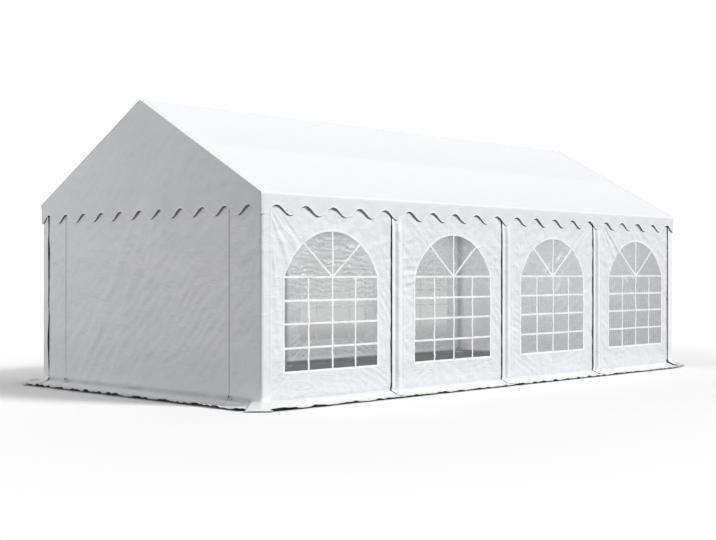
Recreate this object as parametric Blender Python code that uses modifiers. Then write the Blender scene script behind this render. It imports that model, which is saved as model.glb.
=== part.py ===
"""Marquee tent, 4 m by 8 m, four bays long.

A frame of steel tubes stands under a cover of coated cloth: two roof slopes, gable
triangles and valances with a scalloped edge, side panels with arched windows of clear
film, gable walls with a zipped door panel, and a ground skirt along all four sides.
Metres, +Z up. The origin is on the ground at the middle of the tent, X runs across
its width and Y along its length, with the front gable at -Y.
"""
import math

import bmesh
import bpy
from mathutils import Matrix, Vector

# Driving dimensions of the tent
LENGTH = 8.0
WIDTH = 4.0
BAYS = 4
EAVE = 2.164
RIDGE = 3.27
CLOTH = 0.003

# Room between pieces that touch, a cutter's reach past what it cuts, and welding distance
GAP = 0.0003
CUT_PAST = 0.02
WELD = 0.00001

# Steel frame: tubes, and sleeves that the lengthwise tubes pass through
TUBE_R = 0.019
TUBE_SIDES = 12
SLEEVE_R = 0.024
SLEEVE_HALF = 0.025
PURLIN_X = 1.0
TIE_BELOW_EAVE = 0.07
FOOT_SIZE = 0.10
FOOT_THICK = 0.006
PEG_HOLE_R = 0.006
PEG_HOLE_INSET = 0.014
PEG_HOLE_SIDES = 8

# Valance and its scallops
STAND_OFF = 0.018
VALANCE_SHORT = 0.12
VALANCE_DEEP = 0.22
SIDE_LOBES = 20
GABLE_LOBES = 11
LOBE_STEPS = 8

# Side panels, with the flap that covers each post. The first panels wrap round the front
# corners, and the back wall wraps round the back ones
FLAP_BEFORE = 0.08
FLAP_AFTER = 0.055
FLAP_RISE = 0.012
FLAP_STEPS = 8
SLIT = 0.008
FRONT_WRAP = 0.14
BACK_WRAP = 0.15
CORNER_R = 0.005
CORNER_STEPS = 2

# Arched windows
WINDOW_WIDTH = 1.39
WINDOW_SILL = 0.345
WINDOW_SPRING = 1.315
WINDOW_TOP = 1.80
ARCH_STEPS = 20
FILM = 0.002
FILM_LAP = 0.025

# Gable walls and doors
DOOR_WIDTH = 3.0
HEADER = 0.10
WALL_END_ROOM = 0.008

# Ground skirt, as distance out from the wall and height of its upper side
SKIRT_TOP = 0.06
SKIRT_REACH = 0.29
SKIRT_CURVE = 0.10
SKIRT_STEPS = 6
MITRE_ROOM = 0.0045

# Worked out from the dimensions above
BAY = LENGTH / BAYS
HALF_X = WIDTH / 2
HALF_Y = LENGTH / 2
ROOF_X = HALF_X + STAND_OFF
ROOF_Y = HALF_Y + STAND_OFF
SLOPE = math.atan2(RIDGE - EAVE, ROOF_X)
ROOF_DROP = CLOTH / math.cos(SLOPE)
TUBE_DROP = (CLOTH + GAP + SLEEVE_R) / math.cos(SLOPE)
POST_X = HALF_X - CLOTH - GAP - SLEEVE_R
GABLE_FACE = HALF_Y - CLOTH - GAP
END_FRAME_Y = GABLE_FACE - CLOTH - GAP - SLEEVE_HALF
BORE_R = (TUBE_R + GAP) / math.cos(math.pi / TUBE_SIDES)


def roof_height(x):
    """Height of the roof's upper side at a distance x from the ridge."""
    return RIDGE - abs(x) * math.tan(SLOPE)


EAVE_TUBE_Z = roof_height(POST_X) - TUBE_DROP
WALL_TOP = EAVE_TUBE_Z
POST_TOP = EAVE_TUBE_Z - SLEEVE_R - GAP
FRAME_Y = [-END_FRAME_Y, -BAY, 0.0, BAY, END_FRAME_Y]

# The long side's face looks along +X, the front gable's along -Y
SIDE_FACE = Matrix(((0, 0, 1, 0), (1, 0, 0, 0), (0, 1, 0, 0), (0, 0, 0, 1)))
GABLE_FACING = Matrix(((1, 0, 0, 0), (0, 0, -1, 0), (0, 1, 0, 0), (0, 0, 0, 1)))


def new_collection(name):
    """An empty collection linked to the scene."""
    collection = bpy.data.collections.new(name)
    bpy.context.scene.collection.children.link(collection)
    return collection


for leftover in list(bpy.data.objects):
    bpy.data.objects.remove(leftover, do_unlink=True)
tent = new_collection("marquee_tent")
cutters = new_collection("cutters")


def material(name, colour, roughness, metallic=0.0, alpha=1.0):
    """A Principled BSDF material with one colour."""
    made = bpy.data.materials.new(name)
    made.use_nodes = True
    shader = made.node_tree.nodes["Principled BSDF"]
    shader.inputs["Base Color"].default_value = (*colour, 1.0)
    shader.inputs["Roughness"].default_value = roughness
    shader.inputs["Metallic"].default_value = metallic
    shader.inputs["Alpha"].default_value = alpha
    return made


ROOF_CLOTH = material("roof_cloth", (0.90, 0.91, 0.92), 0.55)
WALL_CLOTH = material("wall_cloth", (0.86, 0.87, 0.88), 0.55)
CLEAR_FILM = material("clear_film", (0.72, 0.74, 0.74), 0.12, alpha=0.35)
STEEL = material("galvanised_steel", (0.62, 0.63, 0.64), 0.38, metallic=1.0)


def place_object(name, data, finish, collection=tent):
    """An object for finished data, in a collection and with a material."""
    made = bpy.data.objects.new(name, data)
    collection.objects.link(made)
    if finish is not None:
        data.materials.clear()
        data.materials.append(finish)
    return made


def hidden_tool(made):
    """Marks a cutter or a joined-on shape, which is no part of the tent itself."""
    made.hide_render = True
    made.display_type = "WIRE"
    return made


def settled_mesh(made):
    """The shape of an object as it is seen, as a welded mesh."""
    graph = bpy.context.evaluated_depsgraph_get()
    mesh = bpy.data.meshes.new_from_object(made.evaluated_get(graph))
    work = bmesh.new()
    work.from_mesh(mesh)
    bmesh.ops.remove_doubles(work, verts=work.verts, dist=WELD)
    work.to_mesh(mesh)
    work.free()
    return mesh


def boolean(made, tool, operation):
    """Cuts or joins a tool object, which goes with the cutters."""
    step = made.modifiers.new(operation.lower(), "BOOLEAN")
    step.operation = operation
    step.solver = "EXACT"
    step.object = tool


def sheet(name, columns, rows, place, finish):
    """Cloth from a grid: place(u, v) gives its outer side, and its thickness goes in."""
    mesh = bpy.data.meshes.new(name)
    work = bmesh.new()
    bmesh.ops.create_grid(work, x_segments=columns, y_segments=rows, size=0.5)
    for vert in work.verts:
        vert.co = place(vert.co.x + 0.5, vert.co.y + 0.5)
    work.to_mesh(mesh)
    work.free()
    made = place_object(name, mesh, finish)
    thickness = made.modifiers.new("cloth", "SOLIDIFY")
    thickness.thickness = CLOTH
    thickness.offset = -1.0
    thickness.use_even_offset = True
    return made


def flat_piece(name, outlines, thickness, matrix, finish, collection=tent):
    """Flat outlines as plates, with matrix setting the middle of their thickness."""
    curve = bpy.data.curves.new(name, "CURVE")
    curve.dimensions = "2D"
    curve.fill_mode = "BOTH"
    curve.extrude = thickness / 2
    for outline in outlines:
        spline = curve.splines.new("POLY")
        spline.points.add(len(outline) - 1)
        for point, (across, up) in zip(spline.points, outline):
            point.co = (across, up, 0.0, 1.0)
        spline.use_cyclic_u = True
    made = place_object(name, curve, finish, collection)
    made.matrix_world = matrix
    return made


def tube(name, start, end):
    """A straight steel tube with closed ends."""
    curve = bpy.data.curves.new(name, "CURVE")
    curve.dimensions = "3D"
    curve.bevel_depth = TUBE_R
    curve.bevel_resolution = TUBE_SIDES // 2 - 2
    curve.use_fill_caps = True
    spline = curve.splines.new("POLY")
    spline.points.add(1)
    for point, end_point in zip(spline.points, (start, end)):
        point.co = (*end_point, 1.0)
    return place_object(name, curve, STEEL)


def add_cylinder(work, start, end, radius, sides=TUBE_SIDES):
    """A capped cylinder between two points, added to a bmesh."""
    run = end - start
    turn = run.to_track_quat("Z", "Y").to_matrix().to_4x4()
    middle = Matrix.Translation((start + end) / 2)
    bmesh.ops.create_cone(
        work, cap_ends=True, segments=sides, radius1=radius, radius2=radius,
        depth=run.length, matrix=middle @ turn)


def cylinders(name, runs, radius, finish, collection, sides=TUBE_SIDES):
    """Cylinders that don't touch each other, as one object."""
    mesh = bpy.data.meshes.new(name)
    work = bmesh.new()
    for start, end in runs:
        add_cylinder(work, Vector(start), Vector(end), radius, sides)
    work.to_mesh(mesh)
    work.free()
    return place_object(name, mesh, finish, collection)


def smooth(made, angle=40.0):
    """Smooth shading with sharp edges kept."""
    made.data.shade_smooth()
    made.data.set_sharp_from_angle(angle=math.radians(angle))


def on_rafter(x, y=0.0):
    """A point on the middle line of a rafter, x from the ridge."""
    return Vector((x, y, roof_height(x) - TUBE_DROP))


def is_end(y):
    """Whether a frame stands at a gable."""
    return abs(y) > HALF_Y - BAY / 2


def runs_through(points, half):
    """Short runs along the tent's length, one through each point."""
    step = Vector((0, half, 0))
    return [(point - step, point + step) for point in points]


def rafter_mesh(side):
    """A rafter with the sleeves that hold its eave tube, its purlin and the ridge tube."""
    eave = on_rafter(side * POST_X)
    purlin = on_rafter(side * PURLIN_X)
    ridge = on_rafter(0.0)
    sleeves_at = [eave, purlin]
    top = ridge
    if side > 0:
        sleeves_at.append(ridge)
    else:
        top = ridge - (ridge - eave).normalized() * (SLEEVE_R + GAP)
    made = cylinders("rafter_pattern", [(eave, top)], TUBE_R, None, cutters)
    sleeves = cylinders("sleeves", runs_through(sleeves_at, SLEEVE_HALF), SLEEVE_R, None, cutters)
    through = runs_through(sleeves_at, SLEEVE_HALF + CUT_PAST)
    bores = cylinders("bores", through, BORE_R, None, cutters)
    boolean(made, hidden_tool(sleeves), "UNION")
    boolean(made, hidden_tool(bores), "DIFFERENCE")
    mesh = settled_mesh(made)
    for tool in (made, sleeves, bores):
        bpy.data.objects.remove(tool)
    return mesh


def rafters():
    """Five pairs of rafters, the right one of each pair with the sleeve at the ridge."""
    for side, name in ((1, "right"), (-1, "left")):
        mesh = rafter_mesh(side)
        for number, y in enumerate(FRAME_Y, start=1):
            made = place_object(f"rafter_{name}_{number}", mesh, STEEL)
            made.location.y = y
            smooth(made)


def lengthwise_tube(name, x):
    """A tube through the sleeves of all five frames, at a distance x from the ridge."""
    reach = END_FRAME_Y + SLEEVE_HALF
    return tube(name, on_rafter(x, -reach), on_rafter(x, reach))


def gable_tie(name, y):
    """The tube between the two corner posts of a gable, just below the eaves."""
    reach = POST_X - TUBE_R - GAP
    height = EAVE_TUBE_Z - TIE_BELOW_EAVE
    return tube(name, (-reach, y, height), (reach, y, height))


def post_mesh(shift_y):
    """A post on its foot plate, with the plate shifted in from the cover."""
    shift_x = TUBE_R - FOOT_SIZE / 2
    inside_plate = FOOT_THICK / 2
    run = ((0, 0, inside_plate), (0, 0, POST_TOP))
    made = cylinders("post_pattern", [run], TUBE_R, None, cutters)
    plate = bpy.data.meshes.new("foot_plate")
    work = bmesh.new()
    bmesh.ops.create_cube(work, size=1.0)
    for vert in work.verts:
        vert.co.x = vert.co.x * FOOT_SIZE + shift_x
        vert.co.y = vert.co.y * FOOT_SIZE + shift_y
        vert.co.z = (vert.co.z + 0.5) * FOOT_THICK
    work.to_mesh(plate)
    work.free()
    foot = hidden_tool(place_object("foot_plate", plate, None, cutters))
    reach = FOOT_SIZE / 2 - PEG_HOLE_INSET
    holes = []
    for side in (-1, 1):
        corner = Vector((shift_x - reach, shift_y + side * reach, 0))
        depth = Vector((0, 0, CUT_PAST))
        holes.append((corner - depth, corner + depth))
    pegs = cylinders("peg_holes", holes, PEG_HOLE_R, None, cutters, PEG_HOLE_SIDES)
    hidden_tool(pegs)
    boolean(made, foot, "UNION")
    boolean(made, pegs, "DIFFERENCE")
    mesh = settled_mesh(made)
    for tool in (made, foot, pegs):
        bpy.data.objects.remove(tool)
    return mesh


def posts():
    """Five posts a side, the corner ones with a foot that clears both walls."""
    corner_mesh = post_mesh(FOOT_SIZE / 2 - TUBE_R)
    bay_mesh = post_mesh(0.0)
    for number, y in enumerate(FRAME_Y, start=1):
        mesh = corner_mesh if is_end(y) else bay_mesh
        turn_right = math.pi / 2 if y > BAY else 0.0
        turn_left = -math.pi / 2 if y < -BAY else math.pi
        for side, name, turn in ((1, "right", turn_right), (-1, "left", turn_left)):
            made = place_object(f"post_{name}_{number}", mesh, STEEL)
            made.location = (side * POST_X, y, 0.0)
            made.rotation_euler.z = turn
            smooth(made)


def roof_slope(name, side):
    """One slope of the roof cover, ridge to eave, over the whole length."""
    near = GAP / 2
    outline = [
        (side * near, roof_height(near)),
        (side * ROOF_X, EAVE),
        (side * ROOF_X, EAVE - ROOF_DROP),
        (side * near, roof_height(near) - ROOF_DROP),
    ]
    return flat_piece(name, [outline], 2 * ROOF_Y, GABLE_FACING, ROOF_CLOTH)


def scallops(start, stop, lobes):
    """The lower edge of a valance, deepest at its ends."""
    middle = (VALANCE_SHORT + VALANCE_DEEP) / 2
    swing = (VALANCE_DEEP - VALANCE_SHORT) / 2
    count = lobes * LOBE_STEPS
    edge = []
    for index in range(count + 1):
        across = start + (stop - start) * index / count
        depth = middle + swing * math.cos(2 * math.pi * index / LOBE_STEPS)
        edge.append((across, EAVE - depth))
    return edge


def side_valance(name, side):
    """The scalloped edge that hangs from the eave of a long side."""
    half = ROOF_Y - CLOTH - GAP
    top = EAVE - ROOF_DROP - GAP
    outline = [(half, top), (-half, top)] + scallops(-half, half, SIDE_LOBES)
    matrix = Matrix.Translation((side * (ROOF_X - CLOTH / 2), 0, 0)) @ SIDE_FACE
    return flat_piece(name, [outline], CLOTH, matrix, ROOF_CLOTH)


def gable_top(name, end):
    """The triangle of a gable and the valance below it, one flat sheet."""
    drop = ROOF_DROP + GAP
    outline = [(ROOF_X, EAVE - drop), (0.0, RIDGE - drop), (-ROOF_X, EAVE - drop)]
    outline += scallops(-ROOF_X, ROOF_X, GABLE_LOBES)
    matrix = Matrix.Translation((0, end * (ROOF_Y - CLOTH / 2), 0)) @ GABLE_FACING
    return flat_piece(name, [outline], CLOTH, matrix, ROOF_CLOTH)


def flap_profile(post_y):
    """Plan of the rounded flap over a bay post, as (x, y) of its outer side."""
    points = []
    for index in range(FLAP_STEPS + 1):
        share = index / FLAP_STEPS
        y = post_y - FLAP_BEFORE + share * (FLAP_BEFORE + FLAP_AFTER)
        points.append((HALF_X + FLAP_RISE * math.sin(math.pi * share), y))
    return points


def corner_arc():
    """Plan of the rounded front right corner, from the gable to the long side."""
    points = []
    for index in range(CORNER_STEPS + 1):
        angle = math.pi / 2 * index / CORNER_STEPS
        x = HALF_X - CORNER_R * (1 - math.sin(angle))
        y = -HALF_Y + CORNER_R * (1 - math.cos(angle))
        points.append((x, y))
    return points


def mirrored_x(points):
    """The same plan on the other side of the ridge, run the other way."""
    return [(-x, y) for x, y in reversed(points)]


def mirrored_y(points):
    """The same plan at the other end of the tent, run the other way."""
    return [(x, -y) for x, y in reversed(points)]


def window_outline(middle, lap=0.0):
    """A window with straight jambs and a flat round arch, grown by lap."""
    half = WINDOW_WIDTH / 2
    rise = WINDOW_TOP - WINDOW_SPRING
    radius = (half * half + rise * rise) / (2 * rise)
    centre_z = WINDOW_TOP - radius
    half += lap
    radius += lap
    reach = math.asin(half / radius)
    outline = [(middle - half, WINDOW_SILL - lap), (middle + half, WINDOW_SILL - lap)]
    for index in range(ARCH_STEPS + 1):
        angle = reach * (1 - 2 * index / ARCH_STEPS)
        y = middle + radius * math.sin(angle)
        outline.append((y, centre_z + radius * math.cos(angle)))
    return outline


def wall_sheet(name, profile):
    """A wall from the skirt to the eave, upright on a plan that runs with its face out."""
    last = len(profile) - 1

    def place(u, v):
        x, y = profile[round(u * last)]
        return Vector((x, y, SKIRT_TOP + v * (WALL_TOP - SKIRT_TOP)))

    return sheet(name, last, 1, place, WALL_CLOTH)


def cut_hole(made, outline, matrix):
    """Cuts a flat outline through a wall."""
    curve = flat_piece("hole", [outline], 2 * CUT_PAST, matrix, None, cutters)
    bpy.context.view_layer.update()
    hole = place_object(f"{made.name}_hole", settled_mesh(curve), None, cutters)
    hole.matrix_world = matrix
    bpy.data.objects.remove(curve)
    boolean(made, hidden_tool(hole), "DIFFERENCE")


def side_panel(name, bay, side):
    """One panel of a long side, with its window cut through and its post flap."""
    near_post = -HALF_Y + (bay - 1) * BAY
    far_post = near_post + BAY
    if bay == 1:
        profile = [(HALF_X - FRONT_WRAP, -HALF_Y)] + corner_arc()
    else:
        profile = flap_profile(near_post)
    if bay == BAYS:
        profile.append((HALF_X, HALF_Y - BACK_WRAP - SLIT))
    else:
        profile.append((HALF_X, far_post - FLAP_BEFORE - SLIT))
    if side < 0:
        profile = mirrored_x(profile)
    made = wall_sheet(name, profile)
    matrix = Matrix.Translation((side * HALF_X, 0, 0)) @ SIDE_FACE
    cut_hole(made, window_outline(near_post + BAY / 2), matrix)
    return made


def window(name, bay, side):
    """The clear film behind the arched hole of one panel."""
    outline = window_outline(-HALF_Y + (bay - 0.5) * BAY, FILM_LAP)
    behind = HALF_X - CLOTH - GAP - FILM / 2
    matrix = Matrix.Translation((side * behind, 0, 0)) @ SIDE_FACE
    return flat_piece(name, [outline], FILM, matrix, CLEAR_FILM)


def gable_matrix(face_y):
    """Stands a flat piece at a gable, with its outer side at face_y."""
    inward = -math.copysign(CLOTH / 2, face_y)
    return Matrix.Translation((0, face_y + inward, 0)) @ GABLE_FACING


def front_wall():
    """The front gable wall, tucked in behind the wraps and cut out round its door."""
    outer = HALF_X - CLOTH - WALL_END_ROOM
    jamb = DOOR_WIDTH / 2 + GAP
    head = WALL_TOP - HEADER
    wall = [
        (outer, SKIRT_TOP), (outer, WALL_TOP), (-outer, WALL_TOP), (-outer, SKIRT_TOP),
        (-jamb, SKIRT_TOP), (-jamb, head), (jamb, head), (jamb, SKIRT_TOP),
    ]
    matrix = gable_matrix(-GABLE_FACE)
    return flat_piece("gable_wall_front", [wall], CLOTH, matrix, WALL_CLOTH)


def back_wall():
    """The back gable wall, which wraps round both back corners."""
    right = mirrored_y(corner_arc())
    profile = [(HALF_X, HALF_Y - BACK_WRAP)] + right
    made = wall_sheet("gable_wall_back", profile + mirrored_x(profile))
    jamb = DOOR_WIDTH / 2 + GAP
    low = SKIRT_TOP - CUT_PAST
    head = WALL_TOP - HEADER
    doorway = [(-jamb, low), (jamb, low), (jamb, head), (-jamb, head)]
    cut_hole(made, doorway, gable_matrix(HALF_Y))
    return made


def gable_door(name, face_y):
    """The door panel that is zipped into a gable wall."""
    half = DOOR_WIDTH / 2
    top = WALL_TOP - HEADER - GAP
    door = [(-half, SKIRT_TOP), (half, SKIRT_TOP), (half, top), (-half, top)]
    return flat_piece(name, [door], CLOTH, gable_matrix(face_y), WALL_CLOTH)


def skirt_profile():
    """The skirt's upper side: out from the wall's face and height, top to edge."""
    points = []
    for index in range(SKIRT_STEPS + 1):
        angle = math.pi / 2 * index / SKIRT_STEPS
        out = SKIRT_CURVE * (1 - math.cos(angle))
        points.append((out, CLOTH + (SKIRT_TOP - GAP - CLOTH) * (1 - math.sin(angle))))
    points.append((SKIRT_REACH, CLOTH))
    return points


def skirt(name, half_run, face, pull_back, turn):
    """A ground skirt with mitred ends, from the wall's foot out over the ground."""
    profile = skirt_profile()
    last = len(profile) - 1
    matrix = Matrix.Rotation(turn, 4, "Z")

    def place(u, v):
        out, height = profile[last - round(v * last)]
        along = (2 * u - 1) * (half_run + out - pull_back)
        return matrix @ Vector((along, -face - out, height))

    return sheet(name, 1, last, place, WALL_CLOTH)


def frame():
    """The whole steel frame."""
    posts()
    rafters()
    lengthwise_tube("ridge_tube", 0.0)
    for side, name in ((1, "right"), (-1, "left")):
        lengthwise_tube(f"eave_tube_{name}", side * POST_X)
        lengthwise_tube(f"purlin_{name}", side * PURLIN_X)
    gable_tie("gable_tie_front", -END_FRAME_Y)
    gable_tie("gable_tie_back", END_FRAME_Y)


def cover():
    """Roof, walls, windows and skirts."""
    roof_slope("roof_right", 1)
    roof_slope("roof_left", -1)
    for side, name in ((1, "right"), (-1, "left")):
        side_valance(f"valance_{name}", side)
        for bay in range(1, BAYS + 1):
            side_panel(f"side_panel_{name}_{bay}", bay, side)
            window(f"window_{name}_{bay}", bay, side)
    front_wall()
    back_wall()
    gable_door("gable_door_front", -GABLE_FACE)
    gable_door("gable_door_back", HALF_Y)
    gable_top("gable_top_front", -1)
    gable_top("gable_top_back", 1)
    skirt("skirt_front", HALF_X, HALF_Y, MITRE_ROOM, 0.0)
    skirt("skirt_back", HALF_X, HALF_Y, MITRE_ROOM, math.pi)
    skirt("skirt_right", HALF_Y, HALF_X, 0.0, math.pi / 2)
    skirt("skirt_left", HALF_Y, HALF_X, 0.0, -math.pi / 2)


frame()
cover()
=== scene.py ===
# %% [markdown]
# # Dressing a marquee tent
# A marquee is a frame of steel tubes with a skin of coated cloth pulled over it. The tubes are
# straight and exact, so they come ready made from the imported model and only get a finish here.
# The cloth is what the eye reads: it hangs, sags and creases, so every sheet of it is made again
# in this lesson, in the place where the plain solid stands.

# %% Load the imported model
import math

import bmesh
import bpy
import numpy as np
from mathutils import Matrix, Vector


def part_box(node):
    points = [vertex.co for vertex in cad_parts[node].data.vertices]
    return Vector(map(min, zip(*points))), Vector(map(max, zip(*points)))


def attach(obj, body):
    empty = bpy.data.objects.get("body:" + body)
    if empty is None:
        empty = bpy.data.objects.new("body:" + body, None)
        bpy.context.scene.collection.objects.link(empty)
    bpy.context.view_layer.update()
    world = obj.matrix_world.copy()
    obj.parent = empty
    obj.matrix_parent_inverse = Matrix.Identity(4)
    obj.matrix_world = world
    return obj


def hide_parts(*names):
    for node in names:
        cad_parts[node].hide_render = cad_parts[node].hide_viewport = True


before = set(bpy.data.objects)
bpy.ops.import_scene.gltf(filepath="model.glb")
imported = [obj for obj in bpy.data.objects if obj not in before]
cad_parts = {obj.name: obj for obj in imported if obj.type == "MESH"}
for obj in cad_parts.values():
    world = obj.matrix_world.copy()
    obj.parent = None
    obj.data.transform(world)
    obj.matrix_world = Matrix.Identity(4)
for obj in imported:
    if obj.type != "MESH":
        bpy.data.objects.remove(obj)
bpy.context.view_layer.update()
print("nodes in the packed model:", len(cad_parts))

# %% [markdown]
# ## The sizes that the cloth has to meet
# A cover is cut to fit its frame. Rather than typing the tent's sizes again, we read them off the
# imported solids, so that the cloth meets the steel wherever the frame was built.

# %% Read the main sizes from the frame
CLOTH_DROP = 0.0037
HALF_X, HALF_Y, WALL_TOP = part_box("gable_wall_back")[1]
ROOF_X, ROOF_Y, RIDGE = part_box("roof_right")[1]
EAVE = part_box("valance_right")[1].z + CLOTH_DROP
FRONT_FACE = -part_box("gable_wall_front")[0].y
DOOR_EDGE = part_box("gable_door_front")[1].x
DOOR_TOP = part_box("gable_door_front")[1].z
SKIRT_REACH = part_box("skirt_right")[1].x - HALF_X
POST_LINES = [sum(corner.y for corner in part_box(f"rafter_right_{bay}")) / 2 for bay in range(1, 6)]
PURLIN_X = sum(corner.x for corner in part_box("purlin_right")) / 2
BAY = 2 * HALF_Y / 4
SLOPE = math.atan2(RIDGE - EAVE, ROOF_X)
SIDES = ((1, "right"), (-1, "left"))
ENDS = ((-1, "front"), (1, "back"))
print(f"walls {2 * HALF_X:.2f} by {2 * HALF_Y:.2f} m, eave {EAVE:.3f} m, ridge {RIDGE:.3f} m")

# %% [markdown]
# ## Camera
# The tent is seen from a corner, at eye height, with a long lens from well back. A camera object
# needs a lens and a sensor width: the focal length was found in pixels, and one division turns it
# into millimetres.

# %% Place the camera
PICTURE_WIDTH = 716
FOCAL_PIXELS = 1233.3
SENSOR = 36.0
EYE = (11.205, -12.164, 1.368)
LOOK_UP = 0.0015
LOOK_ROUND = 0.767
ROLL = -0.0011


def new_object(name, data):
    """An object for some data, linked to the scene."""
    made = bpy.data.objects.new(name, data)
    bpy.context.scene.collection.objects.link(made)
    return made


camera = new_object("camera", bpy.data.cameras.new("camera"))
camera.data.sensor_width = SENSOR
camera.data.lens = FOCAL_PIXELS / PICTURE_WIDTH * SENSOR
camera.location = EYE
camera.rotation_euler = (math.pi / 2 + LOOK_UP, ROLL, LOOK_ROUND)
bpy.context.scene.camera = camera
print(f"lens {camera.data.lens:.1f} mm")

# %% [markdown]
# ## Small tools for shader nodes
# Every finish below is wired from nodes in code. A few small helpers keep that readable: they add
# a node, give each input a value or a link by its name, and hand back the output that is needed.
# A node group is built once and placed in each material that needs its effect, like a jig that
# several jobs share.

# %% Helpers for nodes
GROUP_VALUE = "NodeSocketFloat"
GROUP_COLOUR = "NodeSocketColor"


def feed(socket, value):
    """Links an input to another node's output, or sets its value. A colour may leave out alpha."""
    if isinstance(value, bpy.types.NodeSocket):
        socket.id_data.links.new(value, socket)
    elif socket.type == "RGBA" and len(value) == 3:
        socket.default_value = (*value, 1.0)
    else:
        socket.default_value = value


def set_up(node, **values):
    """Feeds the inputs of a node, and sets its properties, by name."""
    for name, value in values.items():
        label = name.replace("_", " ")
        if label in node.inputs:
            feed(node.inputs[label], value)
        else:
            setattr(node, name, value)
    return node


def add_node(tree, kind, **values):
    """A node of a kind, set up by name."""
    return set_up(tree.nodes.new(kind), **values)


def new_group(name, inputs, outputs):
    """A node group: its tree, what comes into it, and the node that puts its results out."""
    tree = bpy.data.node_groups.new(name, "ShaderNodeTree")
    for label, value in inputs.items():
        kind = GROUP_VALUE if isinstance(value, float) else GROUP_COLOUR
        socket = tree.interface.new_socket(name=label, in_out="INPUT", socket_type=kind)
        socket.default_value = value
    for label in outputs:
        kind = GROUP_COLOUR if label == "Color" else GROUP_VALUE
        tree.interface.new_socket(name=label, in_out="OUTPUT", socket_type=kind)
    return tree, tree.nodes.new("NodeGroupInput").outputs, tree.nodes.new("NodeGroupOutput")


def place_group(tree, name, **values):
    """The outputs of a node group placed in a material, with its own values."""
    return add_node(tree, "ShaderNodeGroup", node_tree=bpy.data.node_groups[name], **values).outputs


def new_material(name, **values):
    """A material and its Principled shader, with values set by name."""
    made = bpy.data.materials.new(name)
    made.use_nodes = True
    return made, set_up(made.node_tree.nodes["Principled BSDF"], **values)


print("node helpers are ready")

# %% Helpers that work on sockets


def maths(operation, first, second=0.0):
    """A Math node on a socket and a second socket or number."""
    node = add_node(first.id_data, "ShaderNodeMath", operation=operation)
    feed(node.inputs[0], first)
    feed(node.inputs[1], second)
    return node.outputs["Value"]


def times(first, *others):
    """The product of a socket with sockets or numbers."""
    for other in others:
        first = maths("MULTIPLY", first, other)
    return first


def plus(first, *others):
    """The sum of a socket with sockets or numbers."""
    for other in others:
        first = maths("ADD", first, other)
    return first


def scaled(value, low_in, high_in, low_out=0.0, high_out=1.0):
    """A Map Range node on a socket, which clamps at both ends."""
    return add_node(value.id_data, "ShaderNodeMapRange", Value=value, From_Min=low_in,
                    From_Max=high_in, To_Min=low_out, To_Max=high_out).outputs["Result"]


def mixed(share, low, high):
    """A colour between two, by a share from a socket."""
    node = add_node(share.id_data, "ShaderNodeMix", data_type="RGBA")
    for index, value in zip((0, 6, 7), (share, low, high)):
        feed(node.inputs[index], value)
    return node.outputs[2]


def mixed_shaders(share, low, high):
    """A shader between two, by a share from a socket."""
    node = add_node(share.id_data, "ShaderNodeMixShader", Fac=share)
    feed(node.inputs[1], low)
    feed(node.inputs[2], high)
    return node.outputs["Shader"]


def noise(place, cells, **values):
    """Noise between 0 and 1 at a place. cells is how many of its hills fit in a metre."""
    return add_node(place.id_data, "ShaderNodeTexNoise", Vector=place, Scale=cells,
                    **values).outputs["Fac"]


def bump(height, distance, **values):
    """The normal of a surface with a height on it."""
    return add_node(height.id_data, "ShaderNodeBump", Height=height, Distance=distance,
                    **values).outputs["Normal"]


def mark(tree, name):
    """A value that the mesh carries at each of its points."""
    return add_node(tree, "ShaderNodeAttribute", attribute_name=name).outputs["Fac"]


def flat_cut(tree):
    """The flat place on the sheet's own cut pattern, in metres."""
    return add_node(tree, "ShaderNodeUVMap", uv_map="flat_cut").outputs["UV"]


def drawn_out(place, turn, along_share):
    """A place turned round and drawn out along one direction."""
    return add_node(place.id_data, "ShaderNodeMapping", Vector=place, Rotation=(0.0, 0.0, turn),
                    Scale=(along_share, 1.0, 1.0)).outputs["Vector"]


def in_space(tree):
    """The place in the object's own space."""
    return add_node(tree, "ShaderNodeTexCoord").outputs["Object"]


print("socket helpers are ready")

# %% [markdown]
# ## Light
# White cloth on a pale floor shows its shape only by small steps of grey. One wide sun stands
# behind the plane of the near gable: it lights the long side and the roof, drops the short shadows
# of the valance towards the near corner, and leaves the gable and its skirt in shade. A large lamp
# at the left front gives the gable its soft relief, and fades a little from its left to its right.
# The world is white where the camera looks at it, and dimmer as a light, or the shadows would wash
# out. Looked at through a window it is a middle grey, because clear film shows only against a
# darker tone. A wide lamp under the roof stands for the daylight that comes through the cloth.

# %% Sun, surroundings and the glow inside
SUN_FROM = Vector((0.725, 0.34, 0.60))
SUN_STRENGTH = 3.0
SUN_WIDTH = math.radians(14)
FILL_PLACE = Vector((-7.0, -14.0, 4.2))
FILL_AIM = Vector((0.0, -HALF_Y, 1.2))
FILL_WATTS = 535.0
FILL_SIZE = 5.0
GLOW_WATTS = 120.0
GLOW_MARGIN = 0.4
GLOW_BELOW = 0.12
SKY_LIGHT = 0.46
BACKDROP = (1.0, 1.0, 1.0)
SEEN_THROUGH_FILM = (0.66, 0.665, 0.67)


def add_light(name, kind, energy, **values):
    """A lamp of a kind, with its properties set by name. It shines straight down."""
    data = bpy.data.lights.new(name, kind)
    data.energy = energy
    for label, value in values.items():
        setattr(data, label, value)
    return new_object(name, data)


def shine_from(lamp, direction):
    """Turns a lamp so that its light comes from a direction."""
    lamp.rotation_euler = direction.to_track_quat("Z", "Y").to_euler()


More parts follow.
